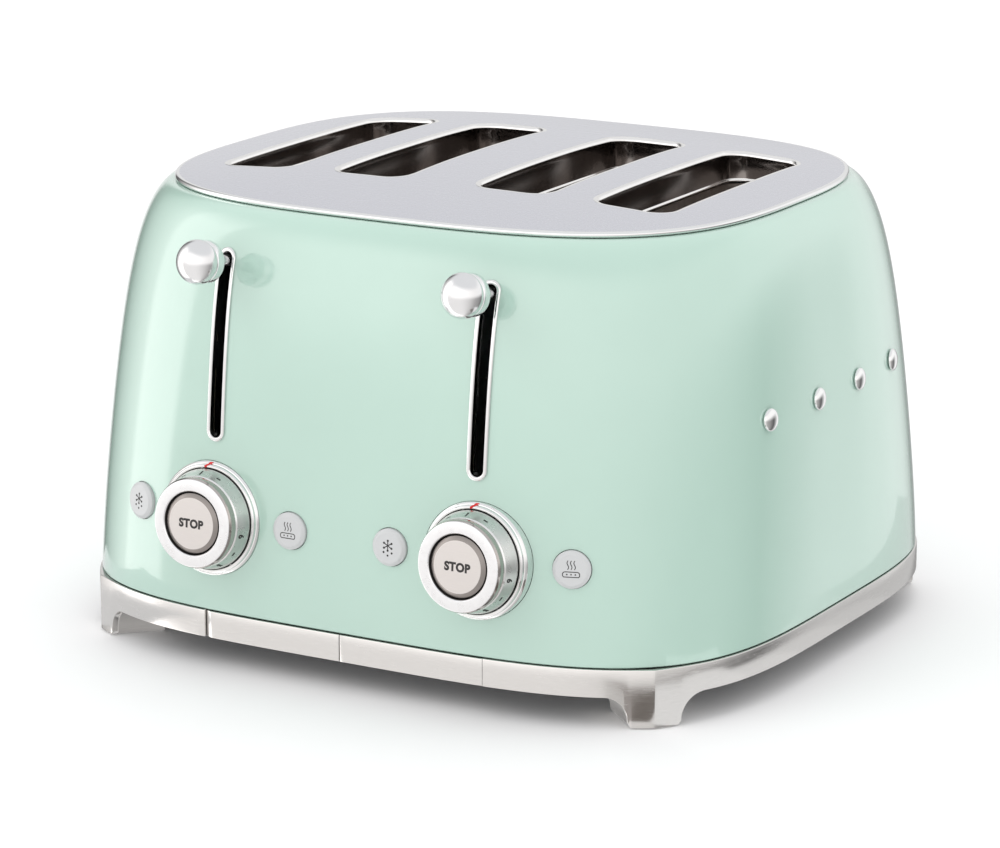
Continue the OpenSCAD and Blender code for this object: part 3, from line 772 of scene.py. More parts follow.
def make_top():
    N = 288
    qs = np.concatenate([[0.0], np.linspace(0.05, 0.9, 30), np.linspace(0.915, 0.9885, 7)])
    base, nrm, _ = outline(A1, B1, N1, N)
    rows, low = [], []
    for q in qs:
        rows.append(np.column_stack([base * max(q, 1e-4), np.full(N, dome_z(q))]))
        low.append(np.column_stack([base * max(q, 1e-4), np.full(N, dome_z(q) - 1.1)]))
    v = np.concatenate(rows + low[::-1])
    f = grid_faces(len(rows) * 2, N, True, True)
    o = new_object("top_dome", v, f, [TOP], smooth=0, merge=0.05)
    cuts = []
    for x in SLOT_XS:
        p, _ = round_rect(35.5 + 3.4, 133 + 3.4, 9 + 1.7)
        n = len(p)
        v1 = [(x + a, b, 190) for a, b in p] + [(x + a, b, 220) for a, b in p]
        f1 = [(i, (i + 1) % n, n + (i + 1) % n, n + i) for i in range(n)] + [tuple(range(n - 1, -1, -1)), tuple(range(n, 2 * n))]
        cuts.append((np.array(v1, float), f1))
    cut(o, cuts)
    keep_mesh(o, [TOP])
    me = o.data
    me.shade_smooth()
    me.set_sharp_from_angle(angle=math.radians(35))
    co = np.zeros(len(me.vertices) * 3)
    me.vertices.foreach_get("co", co)
    co = co.reshape(-1, 3) * 1000
    co[:, 1] -= YO
    nv = dome_normal(co[:, 0], co[:, 1])
    li = np.zeros(len(me.loops), np.int32)
    me.loops.foreach_get("vertex_index", li)
    lp = np.zeros(len(me.polygons), np.int32)
    me.polygons.foreach_get("loop_total", lp)
    pn = np.zeros(len(me.polygons) * 3)
    me.polygons.foreach_get("normal", pn)
    pn = np.repeat(pn.reshape(-1, 3), lp, 0)
    on = (np.abs(co[:, 2] - dome_z(share(co[:, 0], co[:, 1]))) < 0.08)[li] & (pn[:, 2] > 0.8)
    me.normals_split_custom_set(np.where(on[:, None], nv[li], 0.0).tolist())
    put(o, "root", "top_plate", slot="brushed_top")
    # polished half-round rim with its skirt
    N = 400
    p, nn, _ = outline(A1, B1, N1, N)
    P = np.column_stack([p, np.zeros(N)])
    U = np.column_stack([nn, np.zeros(N)])
    V = np.tile([0, 0, 1.0], (N, 1))
    prof = [(-2.6, 205.05), (-1.9, 205.12)]
    for k in range(15):
        t = math.radians(88 - 176 * k / 14)
        prof.append((-1.25 + 1.25 * math.cos(t), 203.85 + 1.25 * math.sin(t)))
    prof += [(-2.2, 202.6), (-3.3, 202.5), (-3.5, 202.0), (-3.5, 195.5), (-4.3, 195.5), (-4.3, 203.6), (-3.6, 204.2)]
    v, f = sweep(P, U, V, prof)
    o = new_object("top_rim", v, f, [RIM], smooth=40)
    put(o, "root", "top_plate", slot="brushed_top")
    # turned-down lips
    for i, x in enumerate(SLOT_XS):
        p, nn = round_rect(35.5, 133, 9, 12, (8, 30))
        n = len(p)
        px, py = p[:, 0] + x, p[:, 1]
        # height of the plate just outside the lip
        zo = dome_z(share(px + nn[:, 0] * 2.2, py + nn[:, 1] * 2.2))
        prof = np.zeros((n, 0, 2))
        pts = []
        for k in range(9):
            t = math.radians(90 - 90 * k / 8)
            # quarter round from the plate down into the slot: out is +u
            pts.append((1.9 - 1.9 * math.cos(t), 0.16 - 1.9 * (1 - math.sin(t))))
        pts = [(2.6, -0.05), (2.3, 0.14)] + pts
        pts += [(0.0, -4.0), (0.0, -8.6), (-0.12, -8.85), (-0.5, -9.05), (-0.72, -9.4), (-0.72, -9.75), (-0.45, -10.15), (0.0, -10.3), (0.5, -10.25), (0.85, -9.8), (0.8, -3.6), (1.1, -2.0), (1.9, -1.2), (2.6, -1.1)]
        pts = np.array(pts)
        prof = np.repeat(pts[None], n, 0)
        prof[:, :, 1] += zo[:, None]
        # the hem runs level
        deep = pts[:, 1] < -8
        prof[:, deep, 1] = 205.2 + pts[deep, 1][None]
        P = np.column_stack([px, py, np.zeros(n)])
        U = np.column_stack([nn, np.zeros(n)])
        V = np.tile([0, 0, 1.0], (n, 1))
        v, f = sweep(P, U, V, prof)
        m = len(pts)
        # faces 10 and 11, the lip's inner wall into the slot, take the dark painted shade
        which = [1 if (f2 % m) in (10, 11) else 0 for f2 in range(len(f))]
        o = new_object(f"slot_lip_{i + 1}", v, f, [LIP, LIP_WALL_SHADE], which, smooth=40)
        put(o, "root", "top_plate", slot="brushed_top")


# ------------------------------------------------------------------ base ring, feet, trays
RA, RB, RN = 167.6, 151.4, 3.9
CORNER = np.array([139.7, -126.3])
TDIR = np.array([math.cos(math.radians(47.9)), math.sin(math.radians(47.9))])


def foot_low(t):
    """Lower edge of the ring, by the distance t along the foot."""
    t = np.asarray(t, float)
    z = np.full(t.shape, 13.8)
    r = (t > 12.2) & (t < 24.2)
    z[r] = 2 + 11.8 * np.sqrt(np.maximum(0, 1 - ((24.2 - t[r]) / 12) ** 2))
    l = (t < -10.6) & (t > -20.2)
    z[l] = 2 + 11.8 * np.sqrt(np.maximum(0, 1 - ((t[l] + 20.2) / 9.6) ** 2))
    z[(t >= 11) & (t <= 12.2)] = 0.6 + 1.4 * (t[(t >= 11) & (t <= 12.2)] - 11) / 1.2
    z[(t <= -9.5) & (t >= -10.6)] = 0.6 + 1.4 * (-9.5 - t[(t <= -9.5) & (t >= -10.6)]) / 1.1
    z[(t > -9.5) & (t < 11)] = 0.6
    return z


def quarter_outline():
    """One corner of the ring from x = 0 on the front to y = 0 on the right: points, directions, and foot distance."""
    th = np.linspace(-math.pi / 2, 0, 40001)
    c, s = np.cos(th), np.sin(th)
    x = RA * np.abs(c) ** (2 / RN)
    y = -RB * np.abs(s) ** (2 / RN)
    run = np.concatenate([[0], np.cumsum(np.hypot(np.diff(x), np.diff(y)))])
    t = (x - CORNER[0]) * TDIR[0] + (y - CORNER[1]) * TDIR[1]
    mid = float(np.interp(0, t, run))
    want = [0.0]
    # stations: even along the wall, and close together where the foot's edge is steep
    even = np.linspace(0, run[-1], 110)
    ts = set()
    for k in range(0, 13):
        a = math.radians(90 * k / 12)
        ts.add(round(24.2 - 12 * math.cos(a), 4))
        ts.add(round(-20.2 + 9.6 * math.cos(a), 4))
    for q in (-9.5, -9.2, 11, 10.7, 11.6, -10.05, 26, -22, 6, 8, 3, -3, -6, 1.2, -1.2, 4.5, -4.5):
        ts.add(q)
    extra = [float(np.interp(q, t, run)) for q in ts]
    lo, hi = float(np.interp(-23, t, run)), float(np.interp(27, t, run))
    want = sorted([e for e in even if e < lo or e > hi] + extra + [mid - 1e-4, mid + 1e-4])
    want = np.array(want)
    px, py = np.interp(want, run, x), np.interp(want, run, y)
    gx = px ** (RN - 1) / RA ** RN
    gy = -np.abs(py) ** (RN - 1) / RB ** RN
    m = np.hypot(gx, gy)
    nx, ny = gx / m, gy / m
    tt = np.interp(want, run, t)
    # crease: both flanks run a little straighter and meet in an edge
    w, h = 20.0, 1.9
    k = np.clip(1 - np.abs(want - mid) / w, 0, 1)
    px, py = px + nx * h * k ** 2, py + ny * h * k ** 2
    return np.stack([px, py], 1), np.stack([nx, ny], 1), tt, want, mid


def ring_section(zl, thick=3.2, zt=26.2):
    """Profile (outward, height) of the ring where its lower edge is at zl."""
    e = 0.55
    return [(-0.9, zt), (-0.45, zt - 0.02), (-0.14, zt - 0.16), (0.0, zt - 0.5), (0.0, zl + 0.5 * (zt - zl)), (0.0, zl + e), (-0.12, zl + 0.18), (-e, zl),
            (-thick + 0.3, zl), (-thick, zl + 0.3), (-thick, zt - 0.3), (-thick + 0.3, zt)]


def make_base():
    p, nn, tt, run, mid = quarter_outline()
    # the part from the tray's seam round to the middle of the right-hand side
    keep = p[:, 0] > 70.6
    first = np.array([[70.6, np.interp(70.6, p[:, 0], p[:, 1])]])
    k0 = int(np.argmax(keep))
    q = np.concatenate([first, p[keep]])
    qn = np.concatenate([nn[k0:k0 + 1], nn[keep]])
    qt = np.concatenate([[-60.0], tt[keep]])
    zl = foot_low(qt)
    # whole outline of each half: front right corner, then mirrored to the back
    for s, side in ((1, "right"), (-1, "left")):
        pts = np.concatenate([q, (q * [1, -1])[::-1][1:]])
        nrm = np.concatenate([qn, (qn * [1, -1])[::-1][1:]])
        zz = np.concatenate([zl, zl[::-1][1:]])
        # the back runs on to the middle
        back = p[~keep][::-1] * [1, -1]
        bn = nn[~keep][::-1] * [1, -1]
        seam = np.array([[70.6, -first[0, 1]]])
        pts = np.concatenate([pts, back])
        nrm = np.concatenate([nrm, bn])
        zz = np.concatenate([zz, np.full(len(back), 13.8)])
        pts = pts * [s, 1]
        nrm = nrm * [s, 1]
        n = len(pts)
        P = np.column_stack([pts, np.zeros(n)])
        U = np.column_stack([nrm, np.zeros(n)])
        V = np.tile([0, 0, 1.0], (n, 1))
        prof = np.array([ring_section(z) for z in zz])
        # the seam end is slightly rounded
        prof[0, :, 0] -= 0.35 if s < 0 else 0.05
        P[1, 0] = s * max(abs(P[1, 0]), 71.1)
        v, f = sweep(P, U, V, prof, closed_path=False)
        o = new_object(f"base_ring_{side}", v, f, [RING], smooth=28)
        put(o, "root", "base_ring", slot="ring_metal")
    # feet behind the ring's tabs
    prof = [(-9.2, 0.6), (10.7, 0.6), (11.8, 2.0)]
    prof += [(24.2 - 12.4 * math.cos(math.radians(a)), 2 + 11.8 * math.sin(math.radians(a))) for a in range(15, 91, 15)]
    prof += [(-20.2 + 10.0 * math.cos(math.radians(a)), 2 + 11.8 * math.sin(math.radians(a))) for a in range(90, 0, -15)]
    prof.append((-10.2, 2.0))
    inward = np.array([-TDIR[1], TDIR[0]])
    for mx in (1, -1):
        for my in (1, -1):
            n = len(prof)
            v = []
            for depth in (2.2, 24.0):
                for t, z in prof:
                    # follow the ring's curve, so that the foot stays behind its face
                    bow = 0.011 * t * t
                    c = CORNER + TDIR * t + inward * (depth + bow)
                    v.append((c[0] * mx, c[1] * my, z))
            f = [(i, (i + 1) % n, n + (i + 1) % n, n + i) for i in range(n)] + [tuple(range(n)), tuple(range(2 * n - 1, n - 1, -1))]
            o = new_object(f"foot_core_{'r' if mx > 0 else 'l'}{'f' if my > 0 else 'b'}", v, f, [FOOT], smooth=40)
            b = o.modifiers.new("edge", "BEVEL")
            b.width = 0.0005
            b.segments = 2
            b.limit_method = "ANGLE"
            b.angle_limit = math.radians(40)
            put(o, "root", "base_ring", slot="ring_metal")
    # tray fronts
    for s, side in ((1, "right"), (-1, "left")):
        xs = np.concatenate([[0.15, 0.3, 0.6], np.linspace(3, 64, 22), [66.0, 66.8, 67.6, 68.3, 68.9, 69.4, 69.8, 70.1, 70.35]])
        ys = -RB * (1 - (xs / RA) ** RN) ** (1 / RN)
        gx = xs ** (RN - 1) / RA ** RN
        gy = -np.abs(ys) ** (RN - 1) / RB ** RN
        m = np.hypot(gx, gy)
        nrm = np.stack([gx / m, gy / m], 1)
        drop = np.where(xs > 66, (1.5 if s < 0 else 0.12) * ((xs - 66) / 4.35) ** 2, 0) + np.where(xs < 0.6, 0.3 * ((0.6 - xs) / 0.45) ** 2, 0)
        pts = np.stack([xs, ys], 1) - nrm * drop[:, None]
        n = len(pts)
        P = np.column_stack([pts * [s, 1], np.zeros(n)])
        U = np.column_stack([nrm * [s, 1], np.zeros(n)])
        V = np.tile([0, 0, 1.0], (n, 1))
        sec = ring_section(13.9, 8.4, 26.1)
        v1, f1 = sweep(P, U, V, sec, closed_path=False)
        parts = [(v1, f1, 0)]
        # folded sheet pan
        out, _ = round_rect(66.4, 216, 4, 6, (2, 2))
        inn, _ = round_rect(64.4, 214, 3, 6, (2, 2))
        flr, _ = round_rect(62.4, 212, 2, 6, (2, 2))
        bot, _ = round_rect(64.8, 214.4, 3, 6, (2, 2))
        c = np.array([35.2, -36.0])
        rows = [(out, 25.4), (out, 17.2), (bot, 15.9), (bot * 0.02, 15.9)]
        rows2 = [(inn * 0.02, 16.9), (flr, 16.9), (inn, 18.2), (inn, 25.4)]
        n = len(out)
        v2 = np.concatenate([np.column_stack([(r + c) * [s, 1], np.full(n, z)]) for r, z in rows + rows2])
        f2 = grid_faces(len(rows) + len(rows2), n, True, True)
        parts.append((v2, f2, 1))
        V3, F3, W3 = join_parts(parts)
        o = new_object(f"tray_{side}", V3, F3, [RING, STEEL], W3, smooth=35)
        put(o, f"tray_{side}", f"crumb_tray_{side}", slot="ring_metal")


# ------------------------------------------------------------------ front controls
def make_bezels():
    for s, side in ((-1, "left"), (1, "right")):
        prof = fillet([(4.0, -3.4), (4.0, 0.1), (4.75, 0.1), (4.75, 0.75), (4.2, 1.1), (3.4, 1.1), (2.95, 0.7), (2.95, -3.4)],
                      [0.05, 0.05, 0.08, 0.35, 0.35, 0.35, 0.35, 0.05], 3)
        rings = []
        for w, d in prof:
            rings.append([(x, front_y(x, z) - d, z) for x, z in stadium_xz(s, w)])
        v = np.array(rings).reshape(-1, 3)
        f = grid_faces(len(rings), len(rings[0]), True, True)
        o = new_object(f"slot_trim_{side}", v, f, [CHROME], smooth=40)
        put(o, "root", f"lever_slot_bezel_{side}", slot="trim_chrome")


def make_levers():
    for s, side in ((-1, "left"), (1, "right")):
        M = M_lever(s)
        # domed cap
        dome = [(9.75 * math.sin(math.radians(a)), -0.4 + 7.6 * math.cos(math.radians(a))) for a in np.linspace(0, 90, 25)]
        dome[0] = (0.0, dome[0][1])
        prof = dome + [(9.72, -0.9), (9.5, -1.5), (9.0, -1.9), (8.3, -2.05), (8.2, -2.5), (8.5, -2.75)]
        prof += [(8.9, -2.85), (9.2, -3.05), (9.3, -3.4), (9.3, -7.2), (9.15, -7.6), (8.8, -7.85), (6.6, -8.1), (2.6, -8.1), (2.6, -3.5), (0.0, -3.5)]
        o = lathe(f"lever_cap_{side}", prof, M, [BALL, BALL_DISC], 128, lambda r, z: 1 if z < -2.3 else 0, smooth=40)
        put(o, f"carriage_{side}", f"lever_ball_{side}", slot="ball_chrome")
        prof = fillet([(2.55, -10.6), (6.8, -10.6), (6.8, -9.0), (5.4, -8.25), (2.55, -8.2)], [0.05, 0.35, 0.4, 0.2, 0.05], 4)
        o = lathe(f"lever_neck_{side}", prof, M, [CHROME], 64, smooth=40)
        put(o, f"carriage_{side}", f"lever_collar_{side}", slot="collar_metal")
        # arm with its stem
        v1, f1 = lathe_raw(fillet([(0.0, -35), (2.5, -35), (2.5, -5), (0.0, -5)], [0, 0.3, 0.2, 0], 3), M, 32)
        loop = fillet([(-124, 174.6), (-86.3, 174.6), (-86.3, 183.2), (-124, 183.2)], [3, 1, 1, 3], 5)
        n = len(loop)
        x0 = s * LEVER_X
        v2 = [(x0 + dx, y, z) for dx in (-1.8, 1.8) for y, z in loop]
        f2 = [(i, (i + 1) % n, n + (i + 1) % n, n + i) for i in range(n)] + [tuple(range(n - 1, -1, -1)), tuple(range(n, 2 * n))]
        V, F, W = join_parts([(v1, f1, 0), (v2, f2, 0)])
        o = new_object(f"lever_bar_{side}", V, F, [ZINC], W, smooth=35, merge=1e-4)
        put(o, f"carriage_{side}", f"lever_arm_{side}", slot="rod_steel")


def skirt_place(M, ang0):
    """Local (x across, y toward the body) on the knob's conical side, at ang0 clockwise from the top."""
    R, T = np.array(M.to_3x3()), np.array(M.translation)

    def place(x, y):
        h = 7.7 - y * 0.94
        r = 22.2 - (h - 4.2) * (2.2 / 6.2)
        a = math.radians(90 - ang0) - x / r
        d = np.array([math.cos(a) * 0.942, math.sin(a) * 0.942, 0.334])
        p = np.array([r * math.cos(a), r * math.sin(a), h])
        return R @ p + T, R @ d
    return place


def make_dials():
    for s, side in ((-1, "left"), (1, "right")):
        M = M_dial(s)
        R, T = np.array(M.to_3x3()), np.array(M.translation)
        prof = fillet([(4.6, -9), (25.4, -9), (25.4, 1.3), (24.6, 2.15), (24.25, 2.2), (24.1, 3.15), (23.5, 3.7), (22.9, 3.7), (22.6, 3.35), (22.6, -7.6), (4.6, -7.6)],
                      [0.1, 0.1, 0.75, 0.25, 0.12, 0.3, 0.35, 0.3, 0.25, 0.1, 0.1], 4)
        o = lathe(f"dial_rim_{side}", prof, M, [CHROME], 160, smooth=40)
        put(o, "root", f"dial_bezel_{side}", slot="trim_chrome")
        # red pointer that runs over the rim's steps
        heights = [(22.6, 3.6), (22.9, 3.74), (23.5, 3.74), (24.1, 3.2), (24.25, 2.3), (24.6, 2.2), (25.2, 1.75), (25.4, 1.4)]
        hr = [h[0] for h in heights]
        hz = [h[1] for h in heights]
        line = [(-0.35, 22.75), (-0.35, 23.2), (-0.35, 23.45), (0.1, 23.8), (0.5, 24.05), (0.8, 24.25), (1.15, 24.5), (1.5, 24.8), (1.8, 25.1)]
        line = np.array(line) - [1.1, 0]
        fine = []
        for k in range(len(line) - 1):
            for q in range(4):
                fine.append(line[k] + (line[k + 1] - line[k]) * q / 4)
        fine.append(line[-1])
        fine = np.array(fine)
        n = len(fine)
        wid = np.interp(np.arange(n), [0, 8, n - 4, n - 1], [1.0, 1.4, 1.8, 1.4])
        rows = []
        for up in (0.0, 0.13):
            for e in (-1, 1):
                rows.append([(x + e * w / 2, y, float(np.interp(y, hr, hz)) - 0.03 + up) for (x, y), w in zip(fine, wid)])
        order = [rows[0], rows[1], rows[3], rows[2]]
        v = np.array(order).transpose(1, 0, 2).reshape(-1, 3) @ R.T + T
        f = []
        for i in range(n - 1):
            for j in range(4):
                h = (j + 1) % 4
                f.append((i * 4 + j, i * 4 + h, (i + 1) * 4 + h, (i + 1) * 4 + j))
        f += [(0, 1, 2, 3), tuple((n - 1) * 4 + j for j in (3, 2, 1, 0))]
        o = new_object(f"dial_pointer_{side}", v, f, [RED], smooth=50)
        put(o, "root", slot="trim_chrome")
        # knob
        pts = [(2.2, -24), (4, -24), (4, 8.6), (17.4, 8.6), (19.6, 1), (22.2, 1), (22.2, 4.2), (20.1, 10.2), (19.5, 10.7), (19.5, 11.1), (20.0, 11.6),
               (20.0, 14.6), (19.2, 16.0), (14.6, 16.2), (14.1, 15.7), (14.1, 10.6), (2.2, 10.6)]
        rad = [0.1, 0.1, 0.3, 0.3, 0.5, 0.3, 0.35, 0.25, 0.1, 0.1, 0.25, 0.7, 0.6, 0.3, 0.3, 0.2, 0.1]
        prof = fillet(pts, rad, 4)

        # number 3, the knob's inner well round the stop button, is near-black painted shade
        def part(r, z):
            if z > 15.75 and r > 14.2:
                return 1
            if r > 19.9 and z < 10.6:
                return 2
            if r > 19.3 and 11.0 < z < 15.6:
                return 4
            if r < 14.15 and z > 9:
                return 3
            return 0
        o = lathe(f"dial_cap_{side}", prof, M, [CHROME, KNOB_FACE, KNOB_SKIRT, GROOVE_SHADE, KNOB_SIDE], 160, part, smooth=35)
        put(o, f"dial_{side}", f"dial_knob_{side}", slot="knob_satin")
        parts = []
        for k in range(6):
            ang = -51 * (k + 1) + 51 + 0.0
            # 6 stands 105 degrees clockwise from the top, and the others follow round
            ang = 102 + 51 * (5 - k)
            g = glyphs(str(k + 1), 3.0, 0.28)
            parts.append(glyph_part(g, skirt_place(M, ang), 0.0, 0.13))
            if k < 5 or True:
                pl = skirt_place(M, ang + 25.5)
                xs = np.linspace(-1.05, 1.05, 5)
                loop = [(x, 0.38) for x in xs] + [(x, -0.38) for x in xs[::-1]]
                q = [pl(x, y) for x, y in loop]
                lo = np.array([np.array(a) for a, d in q])
                hi = np.array([np.array(a) + np.array(d) * 0.06 for a, d in q])
                m = len(loop)
                f = [(i, (i + 1) % m, m + (i + 1) % m, m + i) for i in range(m)] + [tuple(range(m - 1, -1, -1)), tuple(range(m, 2 * m))]
                parts.append((np.concatenate([lo, hi]), f, 0))
        V, F, W = join_parts(parts)
        o = new_object(f"dial_marks_{side}", V, F, [INK], W, smooth=0)
        put(o, f"dial_{side}", slot="knob_satin")
        # stop button; its side below the face is near-black painted shade
        prof = fillet([(0, -22.4), (1.9, -22.4), (1.9, 13.2), (13.35, 13.2), (13.35, 15.2), (11.3, 16.2), (0, 16.2)], [0, 0.2, 0.2, 0.2, 0.3, 0.25, 0], 4)
        # material 2, the chamfer, is the darker painted reflection
        o = lathe(f"stop_disc_{side}", prof, M, [STOPM, GROOVE_SHADE, CHAMFER_SHADE], 96, lambda r, z: 1 if z < 14.9 else (2 if r > 11.25 and z < 16.17 else 0), smooth=20)
        put(o, f"stop_{side}", f"stop_button_{side}", slot="stop_face")
        g = glyphs("STOP", 4.1, 0.52, 1.08)
        k = 12.6 / (g[0][:, 0].max() - g[0][:, 0].min())
        g = (g[0] * [k, 1], g[1], g[2])
        V, F, W = glyph_part(g, lambda x, y: (R @ np.array([x, y, 16.2]) + T, R @ np.array([0, 0, 1.0])), -0.02, 0.05)
        o = new_object(f"stop_word_{side}", V, F, [INK], smooth=0)
        put(o, f"stop_{side}", slot="stop_face")


def snowflake():
    out = []
    for k in range(6):
        a = math.radians(90 + 60 * k)
        c, s = math.cos(a), math.sin(a)
        out.append(ribbon([(0.15 * c, 0.95 + 0.15 * s), (1.2 * c, 0.95 + 1.2 * s), (1.75 * c, 0.95 + 1.75 * s)], 0.42, 4))
        out.append(disc(2.15 * c, 0.95 + 2.15 * s, 0.50, 14))
    for x, y in ((-2.0, -2.05), (0, -3.35), (2.0, -2.15)):
        out.append(disc(x, y, 0.46, 14))
    return out


def heat_bread():
    out = []
    for k in (-1, 0, 1):
        pts = [(k * 1.45 + 0.34 * math.sin(2 * math.pi * q / 14), 0.35 + 3.6 * q / 14) for q in range(15)]
        out.append(ribbon(pts, 0.36, 4))
    top = [(-3.6, -2.5), (-3.65, -1.6), (-3.3, -0.95), (-2.6, -0.75), (0, -0.75), (2.6, -0.75), (3.3, -0.95), (3.65, -1.6), (3.6, -2.5), (3.2, -2.95), (0, -2.95), (-3.2, -2.95), (-3.6, -2.5)]
    P = np.array(top)
    for i in range(len(P) - 1):
        out.append(ribbon([tuple(P[i]), tuple((P[i] + P[i + 1]) / 2), tuple(P[i + 1])], 0.36, 3))
    for x in (-1.8, 0, 1.8):
        out.append(disc(x, -1.85, 0.34, 12))
    return out


def make_buttons():
    for key, x in BUTTONS.items():
        kind, side = key.split("_")
        M = M_front(x, 68.7)
        prof = fillet([(0, -12.6), (3, -12.6), (3, -5), (8.2, -5), (8.2, 1.2), (6.9, 2.15), (6.5, 2.3), (0, 2.3)], [0, 0.2, 0.2, 0.2, 0.45, 0.3, 0.3, 0], 4)
        o = lathe(f"{kind}_cap_{side}", prof, M, [BUTTON], 96, smooth=30)
        put(o, f"{kind}_{side}", f"{kind}_button_{side}", slot="button_grey")
        parts = plate2d(snowflake() if kind == "defrost" else heat_bread(), M, 2.28, 2.34)
        V, F, W = join_parts(parts)
        o = new_object(f"{kind}_sign_{side}", V, F, [INK], W, smooth=0)
        put(o, f"{kind}_{side}", slot="button_grey")


def make_studs():
    for i, y in enumerate(STUD_YS):
        M = M_side(y, 122)
        prof = [(0, 0.36), (4.6, 0.36), (4.95, 0.55), (5.0, 0.95)]
        prof += [(4.99 * math.cos(math.radians(a)), 0.95 + 1.85 * math.sin(math.radians(a))) for a in (12, 24, 36, 48, 60, 70, 80)]
        prof += [(0, 2.8)]
        v, f = lathe_raw(prof, M, 72)
        v2, f2 = drum_solid(M, 1.2, -5, 0.5, 24)
        V, F, W = join_parts([(v, f, 0), (v2, f2, 0)])
        o = new_object(f"stud_{i + 1}", V, F, [RIM], W, smooth=50, merge=1e-4)
        put(o, "root", "side_studs", slot="trim_chrome")


# ------------------------------------------------------------------ inside
def make_springs():
    for s, side in ((-1, "left"), (1, "right")):
        turns, n = 11, 11 * 26
        path = []
        for i in range(n + 1):
            t = i / n
            w = 2 * math.pi * turns * t
            # the turns lie a little closer together at both ends
            z = 18 + 98.6 * (t + 0.035 * math.sin(2 * math.pi * t) * -1)
            path.append((s * 80 + 5.4 * math.cos(w), -92.5 + 5.4 * math.sin(w), z))
        v, f = tube(path, 0.7, 8)
        o = new_object(f"coil_spring_{side}", v, f, [SPRING], smooth=50)
        put(o, "root", f"lift_spring_{side}", slot="spring_steel")
        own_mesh(o)


def make_wires():
    for s, side in ((-1, "left"), (1, "right")):
        parts = []
        for x in (14, 65.35, 117):
            for face in (-1, 1):
                if (x == 14 and face < 0) or (x == 117 and face > 0):
                    continue
                path = []
                zs = np.arange(60, 160, 7.0)
                for k, z in enumerate(zs):
                    ys = (-62.0, 62.0) if k % 2 == 0 else (62.0, -62.0)
                    path.append((s * x + face * 0.75, ys[0], z))
                    path.append((s * x + face * 0.75, ys[0] * 0.33, z + 0.2))
                    path.append((s * x + face * 0.75, ys[1] * 0.33, z + 0.2))
                    path.append((s * x + face * 0.75, ys[1], z))
                    if k < len(zs) - 1:
                        path.append((s * x + face * 0.75, ys[1], z + 3.5))
                v, f = tube(path, 0.22, 6)
                parts.append((v, f, 0))
        V, F, W = join_parts(parts)
        o = new_object(f"heating_wires_{side}", V, F, [NICHROME], W, smooth=50)
        put(o, "root", slot="mica")


make_shell()
make_top()
make_base()
make_bezels()
make_levers()
make_dials()
make_buttons()
make_studs()
make_springs()
make_wires()


def finish_nodes(prefixes, mat):
    for name, o in NODES.items():
        if any(name.startswith(p) for p in prefixes) and not o.hide_render:
            o.data.materials.clear()
            o.data.materials.append(mat)


finish_nodes(["foot_pads"], RUBBER)
finish_nodes(["bottom_plate"], BASEP)
finish_nodes(["front_bulkhead", "rear_bulkhead", "centre_divider", "heat_shield", "carriage"], STEEL)
finish_nodes(["slot_liners"], LINER)
finish_nodes(["element_boards"], MICA)
finish_nodes(["bread_guides", "bread_lifter", "guide_rod"], ZINC)
finish_nodes(["armature"], IRON)
finish_nodes(["electromagnet"], COPPER)
finish_nodes(["mains_switch"], BLACK)
finish_nodes(["control_board"], BOARD)
finish_nodes(["cord_gland"], BLACK)
finish_nodes(["base_screws"], SCREW)

# ------------------------------------------------------------------ floor
bpy.ops.mesh.primitive_plane_add(size=24, location=(0, 0, 0))
floor = bpy.context.object
floor.name = "floor"
fm = Mat("floor_white", (0.90, 0.90, 0.905), 0.6)
fm.b.inputs["Specular IOR Level"].default_value = 0.1
floor.data.materials.append(fm.m)
floor.visible_glossy = False

# ------------------------------------------------------------------ studio surroundings
world = bpy.data.worlds.new("studio")
scene.world = world
world.use_nodes = True
wt = world.node_tree
for n in list(wt.nodes):
    wt.nodes.remove(n)


def wn_node(kind, **kw):
    n = wt.nodes.new(kind)
    for k, v in kw.items():
        setattr(n, k, v)
    return n


def wmath(op, a, b=None):
    n = wn_node("ShaderNodeMath", operation=op)
    for i, q in enumerate((a, b)):
        if q is None:
            continue
        if isinstance(q, (int, float)):
            n.inputs[i].default_value = q
        else:
            wt.links.new(q, n.inputs[i])
    return n.outputs[0]


tc = wn_node("ShaderNodeTexCoord")
sep = wn_node("ShaderNodeSeparateXYZ")
wt.links.new(tc.outputs["Generated"], sep.inputs[0])
# bearing from +Y toward +X, 0..1 with 0.5 at +Y
bearing = wmath("ADD", wmath("DIVIDE", wmath("ARCTAN2", sep.outputs[0], sep.outputs[1]), 2 * math.pi), 0.5)


def tint(p, v):
    """A little warm in front of the object, plain behind it."""
    k = min(1, max(0, abs(p - 0.5) * 360 / 50 - 0.8))
    return tuple(v * (1 + (w - 1) * k) for w in WARM) + (1,)


def wramp(fac, stops, interp="LINEAR"):
    r = wn_node("ShaderNodeValToRGB")
    r.color_ramp.interpolation = interp
    e = r.color_ramp.elements
    while len(e) > 1:
        e.remove(e[-1])
    stops = sorted(stops)
    e[0].position, e[0].color = stops[0][0], tint(*stops[0])
    for p, c in stops[1:]:
        q = e.new(p)
        q.color = tint(p, c)
    wt.links.new(fac, r.inputs["Fac"])
    return r.outputs["Color"]


def deg(a):
    """Bearing in degrees (-180..180) as a place on the ramp."""
    return a / 360 + 0.5


